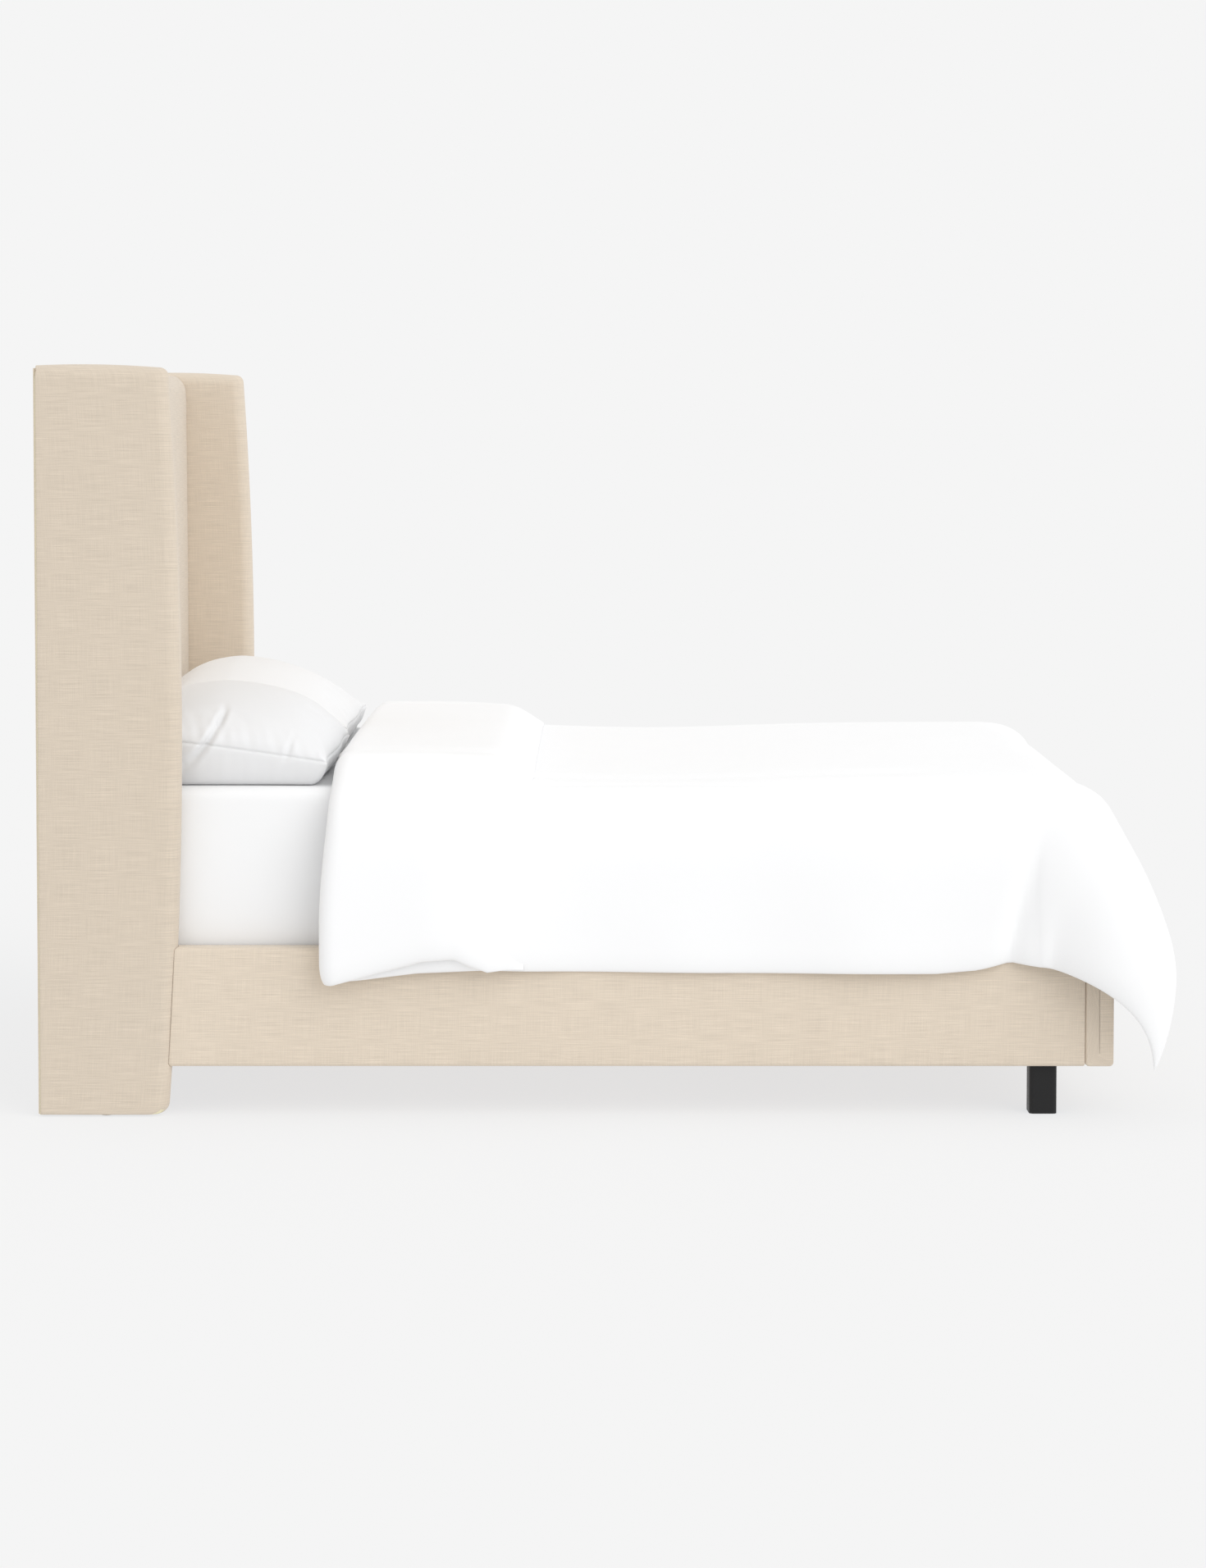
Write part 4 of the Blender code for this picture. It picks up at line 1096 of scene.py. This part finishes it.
class BED_OT_mattress(bpy.types.Operator):
    """Make the mattress and stretch the fitted sheet over it"""

    bl_idname = "bed.mattress"
    bl_label = "Mattress"

    def execute(self, context):
        sizes, colours = context.scene.bed_sizes, context.scene.bed_colours
        low = SHEET_LOW.z + 0.003
        ticking = grid_piece(
            "mattress_ticking", mattress_points(TICKING_INSET, low),
            ticking_finish("ticking_mattress", TICKING), body="mattress",
            stands_for=["mattress"], slot="ticking",
        )
        sheet = grid_piece(
            "fitted_sheet_cotton", mattress_points(0.0, low),
            cotton_finish("cotton_sheet", colours.cotton, SHEET_CREASE), body="mattress",
            wall=sizes.sheet_wall, stands_for=["fitted_sheet"], slot="sheet",
        )
        return {"FINISHED"}


class BED_OT_pillows(bpy.types.Operator):
    """Blow up two pillows in their cases and lay them on the mattress"""

    bl_idname = "bed.pillows"
    bl_label = "Pillows"

    def execute(self, context):
        sizes, colours = context.scene.bed_sizes, context.scene.bed_colours
        for name, side in SIDES:
            low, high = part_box(f"pillowcase_{name}")
            shape = dict(PILLOWS[name], cap=sizes.pillow_swell)
            shape["box"] = (low.x, BACK - high.y), (high.x, BACK - low.y + shape["over"])
            mesh = pillow_mesh(f"pillow_{name}_cotton", side, shape)
            # The far pillow's cotton is made lighter than the near one's as painted light.
            finish = cotton_finish(f"cotton_pillow_{name}", shaded(colours.pillow, shape["painted_light"]))
            piece = place_piece(
                f"pillow_{name}_cotton", mesh, finish, body=f"pillow_{name}",
                stands_for=[f"pillow_{name}", f"pillowcase_{name}"], slot="sheet",
            )
        return {"FINISHED"}


class BED_OT_duvet(bpy.types.Operator):
    """Drape the duvet over the mattress and fold it back at the head"""

    bl_idname = "bed.duvet"
    bl_label = "Duvet"

    def execute(self, context):
        sizes, colours = context.scene.bed_sizes, context.scene.bed_colours
        # The duvet's cotton is made lighter than the sheet's as painted light.
        finish = cotton_finish("cotton_duvet", shaded(colours.cotton, DUVET_PAINTED_LIGHT), SHEET_CREASE)
        piece = place_piece(
            "duvet_cotton", duvet_mesh(sizes), finish, body="duvet", stands_for=["duvet"],
            slot="duvet",
        )
        return {"FINISHED"}


class BED_OT_frame(bpy.types.Operator):
    """Give the frame's timber, foam and fittings their finishes"""

    bl_idname = "bed.frame"
    bl_label = "Frame"

    def execute(self, context):
        colours = context.scene.bed_colours
        pine = ((0.46, 0.30, 0.15), (0.66, 0.48, 0.28))
        birch = ((0.52, 0.37, 0.21), (0.70, 0.55, 0.36))
        finishes = {
            "linen": linen_finish("linen_back", colours.linen, own_coordinates=False),
            "pine_y": wood_finish("pine_lengthways", *pine, along="Y"),
            "pine_x": wood_finish("pine_crossways", *pine, along="X"),
            "pine_z": wood_finish("pine_upright", *pine, along="Z"),
            "birch": wood_finish("birch_ply", *birch, along="X", rings=40.0, gloss=0.5),
            "birch_z": wood_finish("birch_ply_upright", *birch, along="Z", rings=40.0, gloss=0.5),
            "foam": foam_finish("foam", (0.80, 0.74, 0.52)),
            "leg": metal_finish("black_lacquer", colours.leg, 0.45, 0.12, metallic=0.0, gloss=0.3),
            "steel": metal_finish("black_steel", (0.05, 0.05, 0.052), 0.45),
            "zinc": metal_finish("zinc", (0.56, 0.57, 0.60), 0.32),
            "nylon": metal_finish("nylon", (0.07, 0.07, 0.07), 0.55, 0.1, metallic=0.0),
            "pale_nylon": metal_finish("pale_nylon", (0.60, 0.58, 0.54), 0.5, 0.1, metallic=0.0),
            "ticking": ticking_finish("ticking_box_spring", TICKING),
        }
        rules = (
            ("back_cover", "linen"), ("foam", "foam"), ("centre_leg", "pine_z"), ("bolt", "zinc"),
            ("plate", "steel"), ("wing_glide", "pale_nylon"), ("leveller", "nylon"),
            ("leg_", "leg"), ("slat", "birch"), ("face_panel", "birch_z"), ("wing_", "birch_z"),
            ("post", "pine_z"),
            ("headboard", "pine_x"), ("foot_rail", "pine_x"), ("spring_cover", "ticking"),
            ("", "pine_y"),
        )
        for name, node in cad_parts.items():
            if node.hide_render:
                continue
            finish = finishes[next(kind for word, kind in rules if word in name)]
            node.data.materials.clear()
            node.data.materials.append(finish)
        return {"FINISHED"}


class BED_OT_stage(bpy.types.Operator):
    """Set up the pale floor, the soft studio light and the camera at the bed's side"""

    bl_idname = "bed.stage"
    bl_label = "Stage"

    def execute(self, context):
        scene = context.scene
        scene.view_settings.view_transform = "Standard"
        scene.view_settings.look = "None"
        world = bpy.data.worlds.new("studio")
        world.use_nodes = True
        background = world.node_tree.nodes["Background"]
        background.inputs["Color"].default_value = (PALE, PALE, PALE, 1.0)
        scene.world = world
        mesh = bpy.data.meshes.new("studio_floor")
        corners = [(x * FLOOR_REACH, y * FLOOR_REACH, 0) for x, y in ((-1, -1), (1, -1), (1, 1), (-1, 1))]
        mesh.from_pydata(corners, [], [(0, 1, 2, 3)])
        floor = bpy.data.objects.new("studio_floor", mesh)
        scene.collection.objects.link(floor)
        finish = Recipe("studio_floor", Roughness=0.9, Specular_IOR_Level=0.0)
        # The floor glows with painted light: its emission makes it up to PALE and lightens the shadows
        # under the bed.
        painted_glow = [PALE - share * FLOOR_LIGHT for share in FLOOR_SHADE]
        finish.shader.inputs["Base Color"].default_value = (*FLOOR_SHADE, 1.0)
        finish.shader.inputs["Emission Color"].default_value = (*painted_glow, 1.0)
        finish.shader.inputs["Emission Strength"].default_value = 1.0
        mesh.materials.append(finish.material)
        lamp = bpy.data.lights.new("soft_key", "SUN")
        lamp.energy = KEY_ENERGY
        lamp.angle = math.radians(KEY_SPREAD)
        key = bpy.data.objects.new("soft_key", lamp)
        key.rotation_mode = "QUATERNION"
        key.rotation_quaternion = Vector(KEY_FROM).to_track_quat("Z", "Y")
        scene.collection.objects.link(key)
        lens = bpy.data.cameras.new("side_view")
        lens.lens = CAMERA_LENS
        lens.sensor_width = SENSOR_WIDTH
        lens.shift_y = CAMERA_SHIFT
        lens.clip_end = CLIP_END
        camera = bpy.data.objects.new("side_view", lens)
        camera.location = CAMERA_PLACE
        camera.rotation_euler = (math.radians(90.0 - CAMERA_PITCH), 0.0, -QUARTER)
        scene.collection.objects.link(camera)
        scene.camera = camera
        return {"FINISHED"}


class BED_PT_panel(bpy.types.Panel):
    """The bed's steps, sizes and colours"""

    bl_idname = "BED_PT_panel"
    bl_label = "Upholstered bed"
    bl_space_type = "VIEW_3D"
    bl_region_type = "UI"
    bl_category = "Bed"

    def draw(self, context):
        for step in STEPS:
            self.layout.operator(step.bl_idname)
        for group in (context.scene.bed_sizes, context.scene.bed_colours):
            column = self.layout.column()
            for name in group.__annotations__:
                column.prop(group, name)


STEPS = (
    BED_OT_wings, BED_OT_headboard, BED_OT_rails, BED_OT_mattress, BED_OT_pillows, BED_OT_duvet,
    BED_OT_frame, BED_OT_stage,
)
CLASSES = (BedSizes, BedColours, *STEPS, BED_PT_panel)


def register():
    for kind in CLASSES:
        bpy.utils.register_class(kind)
    bpy.types.Scene.bed_sizes = PointerProperty(type=BedSizes)
    bpy.types.Scene.bed_colours = PointerProperty(type=BedColours)


def unregister():
    del bpy.types.Scene.bed_colours
    del bpy.types.Scene.bed_sizes
    for kind in reversed(CLASSES):
        bpy.utils.unregister_class(kind)


def main():
    register()
    for step in STEPS:
        group, name = step.bl_idname.split(".")
        getattr(getattr(bpy.ops, group), name)()


if __name__ == "__main__":
    main()
